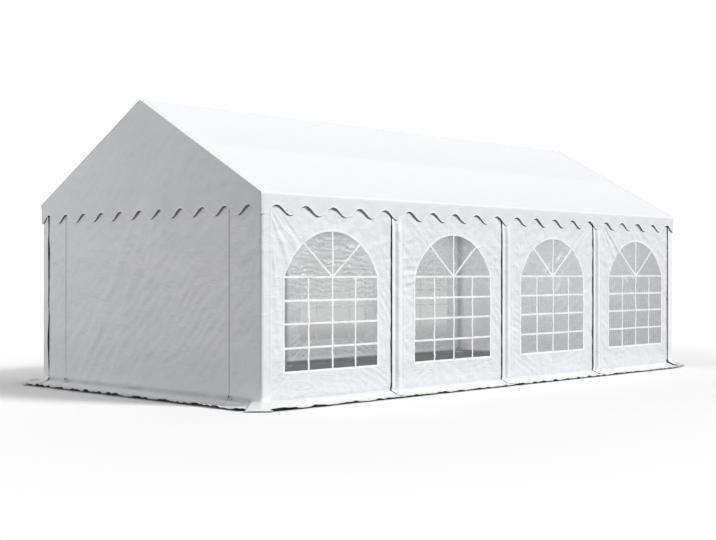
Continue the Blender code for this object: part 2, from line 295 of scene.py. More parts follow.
sun = add_light("sun", "SUN", SUN_STRENGTH, angle=SUN_WIDTH)
shine_from(sun, SUN_FROM)
fill = add_light("fill", "AREA", FILL_WATTS, shape="DISK", size=FILL_SIZE)
shine_from(fill, FILL_PLACE - FILL_AIM)
fill.location = FILL_PLACE
fill.visible_camera = False
glow = add_light("light_through_the_roof", "AREA", GLOW_WATTS, shape="RECTANGLE",
                 size=2 * HALF_X - GLOW_MARGIN, size_y=2 * HALF_Y - GLOW_MARGIN)
glow.location = (0, 0, WALL_TOP - GLOW_BELOW)
glow.visible_camera = False
glow.visible_glossy = False

world = bpy.data.worlds.new("studio")
world.use_nodes = True
bpy.context.scene.world = world
sky = world.node_tree
sky.nodes.clear()
rays = add_node(sky, "ShaderNodeLightPath").outputs
through_film = maths("GREATER_THAN", rays["Transparent Depth"], 0.5)
lamp_light = add_node(sky, "ShaderNodeBackground", Strength=SKY_LIGHT)
seen_light = add_node(sky, "ShaderNodeBackground",
                      Color=mixed(through_film, BACKDROP, SEEN_THROUGH_FILM))
add_node(sky, "ShaderNodeOutputWorld",
         Surface=mixed_shaders(rays["Is Camera Ray"], lamp_light.outputs[0], seen_light.outputs[0]))
bpy.context.scene.view_settings.view_transform = "Standard"

# %% [markdown]
# ## The weave of the cloth
# Tent cloth is a grid of threads sealed between two coats of plastic. From close by the grid shows
# as a faint waffle. Two sine waves, one across the other, draw it over the flat cut of the sheet,
# whose map is in metres, so the threads keep their true distance on every piece.

# %% Node group: thread grid
weave, weave_in, weave_out = new_group(
    "thread_grid", {"Threads per metre": 300.0, "Unevenness": 0.4}, ["Height"])
cut = flat_cut(weave)
wobble = noise(cut, 9.0, Detail=2.0)
split = add_node(weave, "ShaderNodeSeparateXYZ", Vector=cut).outputs
ridges = []
for axis in ("X", "Y"):
    angle = times(split[axis], weave_in["Threads per metre"], 2 * math.pi)
    ridges.append(maths("SINE", plus(angle, times(wobble, weave_in["Unevenness"]))))
set_up(weave_out, Height=maths("MAXIMUM", *ridges))
print("thread grid sockets:", len(weave.interface.items_tree))

# %% [markdown]
# ## Tone of white cloth
# No large sheet of white cloth is one even white. The coating is a little thinner here and there,
# and where it was folded for storage it has gone slightly grey. Broad noise mixes two close
# colours. Two sets of thin slanting lines are the small creases that it kept: they stand up by
# about a millimetre and are a touch darker. Such a line is where a stretched noise passes through
# its middle value, and a second noise breaks the line off after a hand's breadth. The mesh marks
# some places with a value that makes the cloth whiter: where it lies double, at a flap, a hem, a
# border or a bar, less light is lost through it, and on bindings, on the ridge over a post, on the
# hem's lifted lip and on sleeve strips the same value is a painted highlight. Towards the foot of
# the walls the colour is painted darker, a painted shade that eases off right at the ground. A
# second value paints shade into the crease at the foot and onto the outer skirt. A third value,
# worn, marks cloth that was creased more often.

# %% Node group: cloth tone
DOUBLE_AND_HIGHLIGHT_WHITE = (0.985, 0.985, 0.985)
LOW_SHADE_GREY = (0.60, 0.605, 0.62)
PAINTED_SHADE_GREY = (0.42, 0.425, 0.44)
tone, tone_in, tone_out = new_group(
    "cloth_tone",
    {"Light": (0.9, 0.9, 0.9, 1.0), "Dull": (0.8, 0.8, 0.8, 1.0), "Patches per metre": 1.6,
     "Crease darkening": 0.5, "Crease height": 0.0, "Dust": 0.0},
    ["Color", "Roughness shift", "Height"])
spot = in_space(tone)
cut = flat_cut(tone)
patches = scaled(noise(spot, tone_in["Patches per metre"], Detail=4.0, Roughness=0.55), 0.35, 0.68)
crumple = noise(spot, 7.0, Detail=3.0, Roughness=0.5, Distortion=0.6)
crease_sets = []
for turn, long_scale, cells in ((0.72, 0.22, 11.0), (-0.55, 0.27, 13.0)):
    laid = drawn_out(cut, turn, long_scale)
    folded = noise(laid, cells, Detail=1.0, Distortion=0.15)
    line = scaled(maths("ABSOLUTE", maths("SUBTRACT", folded, 0.5)), 0.0, 0.05, 1.0, 0.0)
    broken_off = scaled(noise(laid, cells * 0.45, Detail=1.0), 0.44, 0.62)
    crease_sets.append(times(line, broken_off))
creases = times(maths("MAXIMUM", *crease_sets), plus(mark(tone, "worn"), 1.0))
dull_share = maths("MINIMUM", plus(patches, times(creases, tone_in["Crease darkening"])), 1.0)
above = add_node(tone, "ShaderNodeSeparateXYZ", Vector=spot).outputs["Z"]
# Painted shade: darker towards the foot of the wall, easing off right at the ground.
low_shade = times(scaled(above, 0.12, 0.62, 1.0, 0.0), scaled(above, 0.02, 0.08, 0.55, 1.0), tone_in["Dust"])
colour = mixed(dull_share, tone_in["Light"], tone_in["Dull"])
# Whiter for doubled cloth and painted highlights, then painted shade towards the foot, then painted shade
# in the crease and on the skirt.
for share, other in ((mark(tone, "double_and_highlight"), DOUBLE_AND_HIGHLIGHT_WHITE), (low_shade, LOW_SHADE_GREY),
                     (mark(tone, "painted_shade"), PAINTED_SHADE_GREY)):
    colour = mixed(share, colour, other)
set_up(tone_out, Color=colour, Roughness_shift=patches,
       Height=plus(crumple, times(creases, tone_in["Crease height"])))
print("cloth tone sockets:", len(tone.interface.items_tree))

# %% [markdown]
# ## The cloth finish
# Both cloths are the same coated weave, the roof a heavier and whiter one. The Principled shader
# stays in the material, fed by the groups: colour and roughness from the tone, and two Bump nodes
# in a row for the soft crumple and the thread grid. The dark tape, which has a white back, is a
# painted shadow laid behind the slits.

# %% Materials: roof cloth, wall cloth and tapes


def cloth_material(name, light, dull, roughness, thread_depth, crumple_depth, crease=0.4, ridge=0.0,
                   low_shade=0.0):
    """Coated cloth with two close whites, a soft crumple and a faint grid of threads."""
    made, shader = new_material(name, Specular_IOR_Level=0.35, Sheen_Weight=0.05)
    look = place_group(made.node_tree, "cloth_tone", Light=light, Dull=dull, Crease_darkening=crease,
                       Crease_height=ridge, Dust=low_shade)
    threads = place_group(made.node_tree, "thread_grid")["Height"]
    set_up(shader, Base_Color=look["Color"],
           Roughness=scaled(look["Roughness shift"], 0.0, 1.0, roughness, roughness + 0.12),
           Normal=bump(threads, thread_depth, Normal=bump(look["Height"], crumple_depth)))
    return made


ROOF_CLOTH = cloth_material("roof_cloth", (0.85, 0.855, 0.87), (0.825, 0.832, 0.85), 0.5,
                            0.00006, 0.004, crease=0.15, ridge=0.14)
# The wall cloth carries painted shade towards its foot.
WALL_CLOTH = cloth_material("wall_cloth", (0.882, 0.887, 0.902), (0.847, 0.854, 0.872), 0.46,
                            0.00006, 0.010, ridge=0.12, low_shade=0.42)
TAPE = cloth_material("welded_tape", (0.93, 0.933, 0.935), (0.90, 0.903, 0.905), 0.4,
                      0.00004, 0.001, crease=0.0)
# A dark tape with a pale back: a painted shadow for the slits.
SLIT_SHADOW_TAPE = cloth_material("slit_shadow_tape", (0.10, 0.105, 0.11), (0.07, 0.073, 0.078), 0.85,
                           0.0003, 0.001, crease=0.0)
LINING = (0.85, 0.855, 0.87)
tape_shader = SLIT_SHADOW_TAPE.node_tree.nodes["Principled BSDF"]
tape_front = tape_shader.inputs["Base Color"].links[0].from_socket
tape_turned = add_node(SLIT_SHADOW_TAPE.node_tree, "ShaderNodeNewGeometry").outputs["Backfacing"]
set_up(tape_shader, Base_Color=mixed(tape_turned, tape_front, LINING))
print("cloth materials:", ROOF_CLOTH.name, WALL_CLOTH.name, TAPE.name, SLIT_SHADOW_TAPE.name)

# %% [markdown]
# ## Clear window film
# The window is soft clear plastic. Where it is slack it lies in small ripples. A wave texture,
# bent by its own noise, draws them, and a second noise breaks them off. Along their crests the
# colour turns milky, partly the film's own whitening and partly a painted highlight, and in their
# hollows it is painted darker, a painted shade. Part of the light goes through the film (Alpha)
# and part is scattered back. The mesh carries a value called crumple at each point, which says how
# rippled the film is there, one for the straight streaks of a tight corner, and one for the faint
# upright ribs of a tight film. The group makes all three milkier, as painted highlights, and adds
# a thin even haze where the film is rippled.

# %% Node group and material: film
RIB_SPACING = 0.055
film_group, film_in, film_out = new_group(
    "film_dents", {"Ripples": 5.2, "Clear alpha": 0.20, "Milky alpha": 0.85, "Haze": 0.26},
    ["Alpha", "Milk", "Height", "Hollow"])
cut = flat_cut(film_group)
rippled = mark(film_group, "crumple")
level = drawn_out(cut, 0.08, 0.50)
ripples = add_node(film_group, "ShaderNodeTexWave", wave_type="BANDS", bands_direction="Y",
                   Vector=level, Scale=film_in["Ripples"], Distortion=9.0, Detail=2.0,
                   Detail_Scale=1.9, Detail_Roughness=0.6).outputs["Fac"]
broken_off = scaled(noise(level, 13.0, Detail=1.5), 0.42, 0.60, 0.05, 1.0)
# Milkier along the ripples' crests: some real whitening and a painted highlight.
crest_milk_and_highlight = times(scaled(ripples, 0.62, 1.0, 0.0, 0.85), broken_off, rippled)
across = add_node(film_group, "ShaderNodeSeparateXYZ", Vector=cut).outputs["X"]
rib = scaled(maths("SINE", times(across, 2 * math.pi / RIB_SPACING)), -1.0, 1.0, 0.05, 0.22)
# Painted highlights: streaks and ribs make the film milkier too.
milk_and_highlight = maths("MAXIMUM", plus(crest_milk_and_highlight, times(rib, mark(film_group, "rib_highlight"))),
             mark(film_group, "streak_highlight"))
alpha_room = maths("SUBTRACT", film_in["Milky alpha"], film_in["Clear alpha"])
# Painted shade: darker in the ripples' hollows.
set_up(film_out, Milk=milk_and_highlight, Hollow=times(scaled(ripples, 0.35, 0.0, 0.0, 0.8), rippled),
       Height=times(ripples, rippled),
       Alpha=plus(film_in["Clear alpha"], times(rippled, film_in["Haze"]), times(milk_and_highlight, alpha_room)))

FILM, film_shader = new_material("clear_film", Specular_IOR_Level=0.5, Coat_Weight=0.3,
                                 Coat_Roughness=0.12)
look = place_group(FILM.node_tree, "film_dents")
# Painted highlight: whiter where the film is milky; painted shade: darker in the hollows.
film_tone = mixed(look["Milk"], (0.62, 0.63, 0.635), (0.95, 0.955, 0.96))
set_up(film_shader, Base_Color=mixed(look["Hollow"], film_tone, (0.36, 0.365, 0.37)),
       Alpha=look["Alpha"], Roughness=scaled(look["Milk"], 0.0, 1.0, 0.16, 0.4),
       Normal=bump(look["Height"], 0.006))
print("film material uses", len(FILM.node_tree.nodes), "nodes")

# %% [markdown]
# ## Galvanised steel
# The tubes are dipped in zinc, which freezes in flat crystals a few millimetres across. A Voronoi
# texture gives each crystal its own grey and its own gloss, and a little noise clouds them.

# %% Node group and material: zinc
STEEL_PIECES = ("post_", "rafter_", "ridge_tube", "eave_tube_", "purlin_", "gable_tie_")
zinc, zinc_in, zinc_out = new_group(
    "zinc_crystals",
    {"Crystals per metre": 160.0, "Dark": (0.42, 0.43, 0.44, 1.0), "Bright": (0.70, 0.71, 0.72, 1.0)},
    ["Color", "Roughness", "Height"])
spot = in_space(zinc)
crystals = add_node(zinc, "ShaderNodeTexVoronoi", Vector=spot,
                    Scale=zinc_in["Crystals per metre"]).outputs
own_tone = add_node(zinc, "ShaderNodeSeparateColor", Color=crystals["Color"]).outputs
clouds = scaled(noise(spot, 14.0, Detail=3.0), 0.3, 0.7, 0.6, 1.4)
bright_share = times(maths("MULTIPLY_ADD", own_tone["Red"], 0.6), clouds)
set_up(zinc_out, Color=mixed(bright_share, zinc_in["Dark"], zinc_in["Bright"]),
       Roughness=scaled(own_tone["Green"], 0.0, 1.0, 0.3, 0.5), Height=crystals["Distance"])

STEEL, steel_shader = new_material("galvanised_steel", Metallic=0.85)
look = place_group(STEEL.node_tree, "zinc_crystals")
set_up(steel_shader, Base_Color=look["Color"], Roughness=look["Roughness"],
       Normal=bump(look["Height"], 0.0005, Strength=0.3))
dipped = [node for name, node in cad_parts.items() if name.startswith(STEEL_PIECES)]
for node in dipped:
    node.data.materials.clear()
    node.data.materials.append(STEEL)
print("steel pieces dipped in zinc:", len(dipped))

# %% [markdown]
# ## Floor
# The floor only has to carry the tent's shadow and then melt into the white backdrop. It is one
# large plane. Near the tent it is a plain pale surface, and farther out it glows in the backdrop's
# own white, so no horizon line cuts the picture. It gives less light back than it seems to, as a
# dull floor would, which keeps the gable in its soft shade. Under the tent its colour is dark, a
# painted shade for the place that no daylight reaches.

# %% The studio floor
FLOOR_HALF = 120.0
FADE = (0.3, 5.0)
FILM_FADE = (4.0, 15.0)
FLOOR_SEEN = (0.90, 0.90, 0.905)
FLOOR_BOUNCE = (0.12, 0.12, 0.12)
FLOOR_PAINTED_SHADE = (0.055, 0.055, 0.053)
THROUGH_FILM_SHARE = 0.22


def vector_maths(operation, first, second=(0, 0, 0)):
    """The outputs of a Vector Math node on a socket and three numbers."""
    node = add_node(first.id_data, "ShaderNodeVectorMath", operation=operation)
    feed(node.inputs[0], first)
    feed(node.inputs[1], second)
    return node.outputs


corners = ((-1, -1), (1, -1), (1, 1), (-1, 1))
floor_mesh = bpy.data.meshes.new("floor")
floor_mesh.from_pydata([(x * FLOOR_HALF, y * FLOOR_HALF, 0) for x, y in corners], [], [(0, 1, 2, 3)])
floor = new_object("floor", floor_mesh)
floor_finish, floor_shader = new_material("pale_floor", Roughness=0.9, Specular_IOR_Level=0.1)
floor_tree = floor_finish.node_tree
rays = add_node(floor_tree, "ShaderNodeLightPath").outputs
beyond = vector_maths("SUBTRACT", vector_maths("ABSOLUTE", in_space(floor_tree))["Vector"],
                      (HALF_X, HALF_Y, 1.0))["Vector"]
from_tent = vector_maths("LENGTH", vector_maths("MAXIMUM", beyond)["Vector"])["Value"]
direct = maths("LESS_THAN", rays["Transparent Depth"], 0.5)
seen_plain = times(direct, rays["Is Camera Ray"])
seen_through = maths("SUBTRACT", rays["Is Camera Ray"], seen_plain)
seen_far = plus(times(scaled(from_tent, *FADE), seen_plain),
                times(scaled(from_tent, *FILM_FADE), seen_through))
floor_tone = mixed(plus(seen_plain, times(seen_through, THROUGH_FILM_SHARE)), FLOOR_BOUNCE, FLOOR_SEEN)
# Painted shade: the floor under the tent is dark.
set_up(floor_shader, Base_Color=mixed(maths("LESS_THAN", from_tent, 0.001), floor_tone, FLOOR_PAINTED_SHADE))
floor_glow = add_node(floor_tree, "ShaderNodeEmission",
                      Color=mixed(seen_through, BACKDROP, SEEN_THROUGH_FILM))
set_up(floor_tree.nodes["Material Output"],
       Surface=mixed_shaders(seen_far, floor_shader.outputs["BSDF"], floor_glow.outputs["Emission"]))
floor_mesh.materials.append(floor_finish)
print("floor fades from", FADE[0], "to", FADE[1], "m")

# %% [markdown]
# ## Smooth chance
# Creases in cloth aren't regular, but they aren't noise from point to point either: neighbouring
# points move together. A table of seeded random directions, blended smoothly between its entries,
# gives such hills and hollows. Folding the result at zero turns the soft hills into the sharp
# lines that a cloth keeps from being packed.

# %% Noise for cloth
NOISE_TABLE = 64


def soft_noise(u, v, seed):
    """Smooth hills and hollows between about -1 and 1, one for each unit of u and v."""
    turns = np.random.default_rng(seed).uniform(0.0, 2 * math.pi, (NOISE_TABLE, NOISE_TABLE))
    column = np.floor(u).astype(int)
    row = np.floor(v).astype(int)
    right = u - column
    up = v - row

    def pull(step_u, step_v):
        angle = turns[(row + step_v) % NOISE_TABLE, (column + step_u) % NOISE_TABLE]
        return np.cos(angle) * (right - step_u) + np.sin(angle) * (up - step_v)

    blend_u = right ** 3 * (right * (right * 6 - 15) + 10)
    blend_v = up ** 3 * (up * (up * 6 - 15) + 10)
    low = pull(0, 0) * (1 - blend_u) + pull(1, 0) * blend_u
    high = pull(0, 1) * (1 - blend_u) + pull(1, 1) * blend_u
    return 1.4 * (low * (1 - blend_v) + high * blend_v)


def pressed(u, v, seed):
    """Sharp crease lines, where smooth noise passes through zero."""
    return 0.5 - np.abs(soft_noise(u, v, seed)) * 1.6


def fade(value, start, stop):
    """Rises smoothly from 0 at start to 1 at stop."""
    share = np.clip((value - start) / (stop - start), 0.0, 1.0)
    return share * share * (3 - 2 * share)


sample = soft_noise(np.linspace(0, 20, 2000), np.linspace(3, 9, 2000), 1)
print(f"noise runs from {sample.min():.2f} to {sample.max():.2f}")

# %% [markdown]
# ## Two kinds of fold
# Cloth that is pulled sideways lies in a row of parallel folds. Cloth that hangs from a tight
# corner lies in a fan of folds that spread out from that corner. Both are a wave that dies away
# at its ends, one in straight coordinates and one in polar ones. The wave has narrow crests and
# wide hollows, as a fold in coated cloth does.

# %% Rows and fans of folds


def turned(s, t, degrees):
    """Distances along and across a direction, at an angle from level."""
    lean = math.radians(degrees)
    return s * math.cos(lean) + t * math.sin(lean), -s * math.sin(lean) + t * math.cos(lean)


def from_corner(s, t, corner, start, stop):
    """Distance from a corner, and the share of the way from one angle to another."""
    right = s - corner[0]
    up = t - corner[1]
    return np.hypot(right, up), (np.degrees(np.arctan2(up, right)) - start) / (stop - start)


def crests(turn):
    """A wave with narrow crests and wide hollows, from about -0.4 to 1.2."""
    return 1.6 * ((1 + np.cos(turn)) / 2) ** 2.2 - 0.4


def fold_row(s, t, at, angle, spacing, count, length, depth, seed):
    """Parallel folds round a point. They run at an angle in degrees from level."""
    run, across = turned(s - at[0], t - at[1], angle)
    drift = 1.3 * soft_noise(run / (3 * spacing) + 5, across / (3 * spacing) + 5, seed + 700)
    group = np.exp(-(2 * across / (spacing * count)) ** 4)
    ends = np.exp(-(2 * run / length) ** 2)
    return depth * crests(2 * math.pi * across / spacing + drift) * group * ends


def fold_fan(s, t, corner, start, stop, folds, reach, depth, seed):
    """Folds that spread from a corner between two angles, strongest near the corner."""
    away, share = from_corner(s, t, corner, start, stop)
    drift = 1.1 * soft_noise(away / 0.35 + 3, share * folds * 0.6 + 3, seed + 900)
    sides = fade(share, 0.0, 0.18) * fade(1 - share, 0.0, 0.18)
    rise = away / (0.3 * reach) * np.exp(1 - away / (0.3 * reach))
    return depth * crests(2 * math.pi * folds * share + drift) * sides * rise


def all_folds(table, s, t, seed=0):
    """The folds of a table, added up. Each row is a kind, its numbers and its own seed."""
    return sum(kind(s, t, *numbers, seed + own_seed) for kind, *numbers, own_seed in table)


print("fold tools are ready")

# %% [markdown]
# ## A sheet is drawn flat and then hung
# A tent maker draws each panel flat on the table, in metres, and only then hangs it. We do the
# same. A pattern is a set of flat points with four-sided faces between them, built from lattices
# that are sewn together where their points meet. Hanging sends each flat point (s, t) to its
# place in the tent, and then pushes it along the cloth's own normal by the depth of its folds.
# The flat places are kept as a UV map, so the weave is cut with the cloth.

# %% Patterns


def spaced(low, high, cell, least=1):
    """Even steps of about one size between two numbers."""
    return np.linspace(low, high, max(least, round((high - low) / cell)) + 1)


def lattice(s_rows, t_rows):
    """A pattern from two arrays of the same shape, rows by columns."""
    index = np.arange(s_rows.size).reshape(s_rows.shape)
    faces = np.stack([index[:-1, :-1], index[:-1, 1:], index[1:, 1:], index[1:, :-1]], -1)
    return np.column_stack([s_rows.ravel(), t_rows.ravel()]), faces.reshape(-1, 4)


def grid(s_line, t_line):
    """A pattern of straight rows and columns."""
    return lattice(*np.meshgrid(s_line, t_line))


def oblong(s_low, s_high, t_low, t_high, cell):
    """A rectangular pattern with cells of about one size."""
    return grid(spaced(s_low, s_high, cell), spaced(t_low, t_high, cell))


def round_rows(rows):
    """A pattern from closed rows of flat points."""
    closed = np.concatenate([rows, rows[:, :1]], axis=1)
    return lattice(closed[..., 0], closed[..., 1])


def joined(*patterns):
    """Patterns side by side in one mesh, not sewn."""
    starts = np.cumsum([0] + [len(points) for points, faces in patterns])
    return (np.concatenate([points for points, faces in patterns]),
            np.concatenate([faces + start for (points, faces), start in zip(patterns, starts)]))


def sewn(*patterns):
    """Patterns joined where their points meet, within a tenth of a millimetre."""
    points, faces = joined(*patterns)
    rounded = np.round(points * 10000).astype(np.int64)
    first, which = np.unique(rounded, axis=0, return_index=True, return_inverse=True)[1:]
    return points[first], which.reshape(-1)[faces]


def pattern_area(pattern):
    """Flat area of a pattern, by the shoelace rule on each face."""
    points, faces = pattern
    s = points[faces, 0]
    t = points[faces, 1]
    double_and_highlight = (s * np.roll(t, -1, axis=1) - np.roll(s, -1, axis=1) * t).sum(axis=1)
    return float(np.abs(double_and_highlight).sum() / 2)


test = oblong(0, 2, 0, 1, 0.1)
print("a test lattice has", len(test[1]), "faces and", round(pattern_area(test), 3), "m2")

# %% Bent lines that a sheet follows


def rounded_route(corners, radii, steps=8):
    """A line with rounded corners: the length to each of its points, and the points."""
    corners = [np.array(corner, float) for corner in corners]
    points = [corners[0]]
    for before, corner, after, radius in zip(corners, corners[1:], corners[2:], radii):
        back = (before - corner) / np.linalg.norm(before - corner)
        ahead = (after - corner) / np.linalg.norm(after - corner)
        half_angle = math.acos(np.clip(back @ ahead, -1, 1)) / 2
        cut = radius / math.tan(half_angle)
        for step in range(steps + 1):
            share = step / steps
            points.append((1 - share) ** 2 * (corner + back * cut)
                          + 2 * share * (1 - share) * corner
                          + share ** 2 * (corner + ahead * cut))
    points = np.array(points + [corners[-1]])
    steps_long = np.linalg.norm(np.diff(points, axis=0), axis=1)
    return np.concatenate([[0.0], np.cumsum(steps_long)]), points


def along(route, distance):
    """The places on a route at distances from its start, one array for each coordinate."""
    lengths, points = route
    return [np.interp(distance, lengths, column) for column in points.T]


print("a route round a square corner:", round(rounded_route([(0, 1), (0, 0), (1, 0)], [0.2])[0][-1], 3))

# %% Hanging a pattern
NEAR = 0.002
ON_GROUND = 0.0012


def add_piece(name, mesh, finish):
    """A piece of the tent: a smooth mesh with one finish, which rides on the frame."""
    mesh.shade_smooth()
    mesh.materials.append(finish)
    made = new_object(name, mesh)
    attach(made, "root")
    return made


def hang(name, pattern, place, relief, finish, outward=1, marks=None):
    """Makes a piece from a pattern. place gives x, y, z and relief the depth of the folds.

    outward is 1 or -1, whichever turns the cloth's normal out of the tent.
    """
    points, faces = pattern
    s = points[:, 0]
    t = points[:, 1]
    spots = np.stack(place(s, t), axis=1)
    along_s = np.stack(place(s + NEAR, t), axis=1) - np.stack(place(s - NEAR, t), axis=1)
    along_t = np.stack(place(s, t + NEAR), axis=1) - np.stack(place(s, t - NEAR), axis=1)
    normal = np.cross(along_s, along_t) * outward
    normal /= np.maximum(np.linalg.norm(normal, axis=1, keepdims=True), 1e-9)
    spots = spots + normal * relief(s, t)[:, None]
    spots[:, 2] = np.maximum(spots[:, 2], ON_GROUND)
    order = faces if outward > 0 else faces[:, ::-1]
    polygons = [list(dict.fromkeys(face)) for face in order.tolist()]
    mesh = bpy.data.meshes.new(name)
    mesh.from_pydata(spots.tolist(), [], [corners for corners in polygons if len(corners) > 2])
    used = np.zeros(len(mesh.loops), int)
    mesh.loops.foreach_get("vertex_index", used)
    mesh.uv_layers.new(name="flat_cut").uv.foreach_set("vector", points[used].ravel())
    for label, amount in (marks or {}).items():
        mesh.attributes.new(label, "FLOAT", "POINT").data.foreach_set("value", amount(s, t))
    return add_piece(name, mesh, finish)


print("ready to hang sheets")

# %% [markdown]
# ## Wrinkles of a hanging wall
# Every wall shows the same family of wrinkles: broad soft waves, slanting drag lines, small dents,
# and the pressed lines of its packing. Where a tube stands right behind the cloth it can't move
# in, so hollows are flattened there and only the raised folds stay.

# %% The common wrinkles
TUBE_MARGIN = 0.03


def wall_wrinkles(s, t, seed, lean, strength):
    """Depth of the wrinkles that every wall has, in metres."""
    run, across = turned(s, t, lean)
    broad = 0.0035 * soft_noise(s / 0.42, t / 0.36, seed)
    drag = 0.0030 * soft_noise(run / 0.34, across / 0.10, seed + 1)
    dents = 0.0011 * soft_noise(s / 0.050, t / 0.045, seed + 2)
    lines = 0.0036 * pressed(run / 0.26, across / 0.13, seed + 3)
    cross_lines = 0.0028 * pressed(across / 0.21, run / 0.17, seed + 4)
    small = 0.0018 * pressed(s / 0.085, t / 0.070, seed + 5)
    return strength * (broad + drag + dents + lines + cross_lines + small)


def clear_of_tubes(depth, t, from_post):
    """Flattens hollows near a post, given the distance to it, and near the eave tube."""
    from_tube = np.minimum(from_post, np.maximum(WALL_TOP - t - TUBE_MARGIN, 0))
    return np.where(depth < 0, depth * (0.1 + 0.9 * fade(from_tube, 0.0, 0.12)), depth)


def from_posts(y):
    """Distance to the nearest post line."""
    gaps = [np.abs(y - line) for line in POST_LINES]
    return np.maximum(np.min(gaps, axis=0) - TUBE_MARGIN, 0.0)


print("post lines at", [round(line, 2) for line in POST_LINES])

# %% [markdown]
# ## The foot of the walls
# At the bottom each wall turns outward and its last stretch lies on the ground as a skirt, which
# keeps the wind out. The wall tucks in a little and then bends at a crease above the ground. Its free
# edge is never straight: it waves and lifts off the ground a little, and that dark lip is what
# draws the tent's outline on the floor.

# %% Profile of wall and skirt
CREASE_HEIGHT = 0.057
CREASE_MIDDLE = CREASE_HEIGHT + 0.004
FOOT_OUT = 0.090
LIES_AT = 0.004
TUCK = 0.016
FOOT = rounded_route(
    [(0.0, WALL_TOP), (0.0, CREASE_HEIGHT), (FOOT_OUT, LIES_AT + 0.012), (SKIRT_REACH, LIES_AT)],
    [0.008, 0.030])
FOOT_LENGTH = FOOT[0][-1]
EDGE_T = WALL_TOP - FOOT_LENGTH
SKIRT_T = CREASE_HEIGHT + 0.075
SKIRT_ROWS = 44
SKIRT_LINE = np.linspace(EDGE_T, SKIRT_T, SKIRT_ROWS)


def near_edge(t, reach):
    """0 farther than reach from the free edge, and 1 at it."""
    return fade(EDGE_T + reach - t, 0.0, reach)


def at_crease(t, above, below):
    """1 in the crease at the foot, dying away above and below it."""
    over = t - CREASE_MIDDLE
    return np.exp(-(over / np.where(over > 0, above, below)) ** 2)


def edge_wave(s, t, seed):
    """In-plane wave of the free edge, added to how far the skirt reaches."""
    wave = 0.014 * soft_noise(s / 0.30, 0, seed) + 0.007 * soft_noise(s / 0.085, 0, seed + 1)
    return wave * near_edge(t, 0.16)


def edge_lift(s, t, seed):
    """How far the free edge stands off the ground."""
    ripple = soft_noise(s / 0.24, 7, seed + 2) + 0.8 * soft_noise(s / 0.085, 3, seed)
    on_skirt = fade(CREASE_HEIGHT + 0.01 - t, 0.0, 0.05)
    folds = 0.005 * soft_noise(s / 0.14, t / 0.12, seed + 5) * on_skirt
    return near_edge(t, 0.11) * (0.010 + 0.017 * np.clip(ripple + 0.3, 0.0, 1.2)) + np.abs(folds)


def over_the_foot(depth, s, t, seed, lift, free):
    """Carries a relief down to the free edge. free is 0 where a post keeps the wall from tucking in."""
    on_wall = fade(t, CREASE_HEIGHT - 0.03, CREASE_HEIGHT + 0.06)
    tuck = -TUCK * at_crease(t, 0.034, 0.012) * free
    return depth * (0.15 + 0.85 * on_wall) + lift * edge_lift(s, t, seed) + tuck


def hem(s, t):
    """The doubled hem along the free edge, whiter: doubled cloth, with a painted highlight on its lifted
    lip.
    """
    return 0.9 * fade(EDGE_T + 0.030 - t, 0.0, 0.010)


def painted_foot_shade(strength, above, skirt):
    """Painted shade in the crease at the foot, and on the outer half of the skirt."""

    def amount(s, t):
        uneven = np.clip(0.8 + 0.5 * soft_noise(s / 0.35, 4, 41), 0.4, 1.1)
        outer = skirt * fade(-t, 0.06, 0.16) * (1 - 0.9 * fade(EDGE_T + 0.034 - t, 0.0, 0.012))
        return strength * at_crease(t, above, 0.010) * uneven + outer

    return amount


print(f"a wall is cut {FOOT_LENGTH:.2f} m high, skirt included")

# %% [markdown]
# ## Side panels: the window opening
# Each bay is closed by one panel, 2 m wide, with an arched window. The hole is cut in the flat
# pattern: a ring of faces runs from the window's outline to the panel's edges, which keeps the
# mesh even all round the arch. The arch is a part of a circle, flatter than a half one.

# %% Window outline
WINDOW_HALF = 1.39 / 2
WINDOW_SILL = 0.345
WINDOW_SPRING = 1.315
WINDOW_TOP = 1.80
JAMB_STEPS = 44
ARCH_STEPS = 72
SILL_STEPS = 60


def window_arch(lap=0.0):
    """Half width, radius, centre, spring and half angle of the arch, grown by lap."""
    rise = WINDOW_TOP - WINDOW_SPRING
    radius = (WINDOW_HALF ** 2 + rise ** 2) / (2 * rise)
    centre = WINDOW_TOP - radius
    half = WINDOW_HALF + lap
    radius += lap
    return half, radius, centre, centre + math.sqrt(radius ** 2 - half ** 2), math.asin(half / radius)


def window_outline(middle, lap=0.0):
    """Closed outline of a window, anticlockwise from its lower left corner, grown by lap."""
    half, radius, centre, spring, reach = window_arch(lap)
    sill = WINDOW_SILL - lap
    sill_line = np.linspace(-half, half, SILL_STEPS, endpoint=False)
    jamb_line = np.linspace(sill, spring, JAMB_STEPS, endpoint=False)
    turn = np.linspace(reach, -reach, ARCH_STEPS, endpoint=False)
    s = [sill_line, np.full(JAMB_STEPS, half), radius * np.sin(turn), np.full(JAMB_STEPS, -half)]
    t = [np.full(SILL_STEPS, sill), jamb_line, centre + radius * np.cos(turn),
         sill + spring - jamb_line]
    return np.column_stack([middle + np.concatenate(s), np.concatenate(t)])


def seen_from(hub, outline, targets):
    """The points of an outline that lie in the same directions as the targets."""
    angle = np.unwrap(np.arctan2(*(outline - hub).T[::-1]))
    angle = np.concatenate([angle - 2 * math.pi, angle, angle + 2 * math.pi])
    wanted = np.arctan2(*(targets - hub).T[::-1])
    around = np.concatenate([outline, outline, outline])
    return np.column_stack([np.interp(wanted, angle, column) for column in around.T])


outline = window_outline(0.0)
print("window outline:", len(outline), "points, height", round(float(np.ptp(outline[:, 1])), 3), "m")

# %% Panel pattern with the hole
PANEL_CELL = 0.017
FLAP_CELL = 0.012
FLAP_STOP = 0.13
RING_LEVELS = 24
HUB_HEIGHT = 1.05


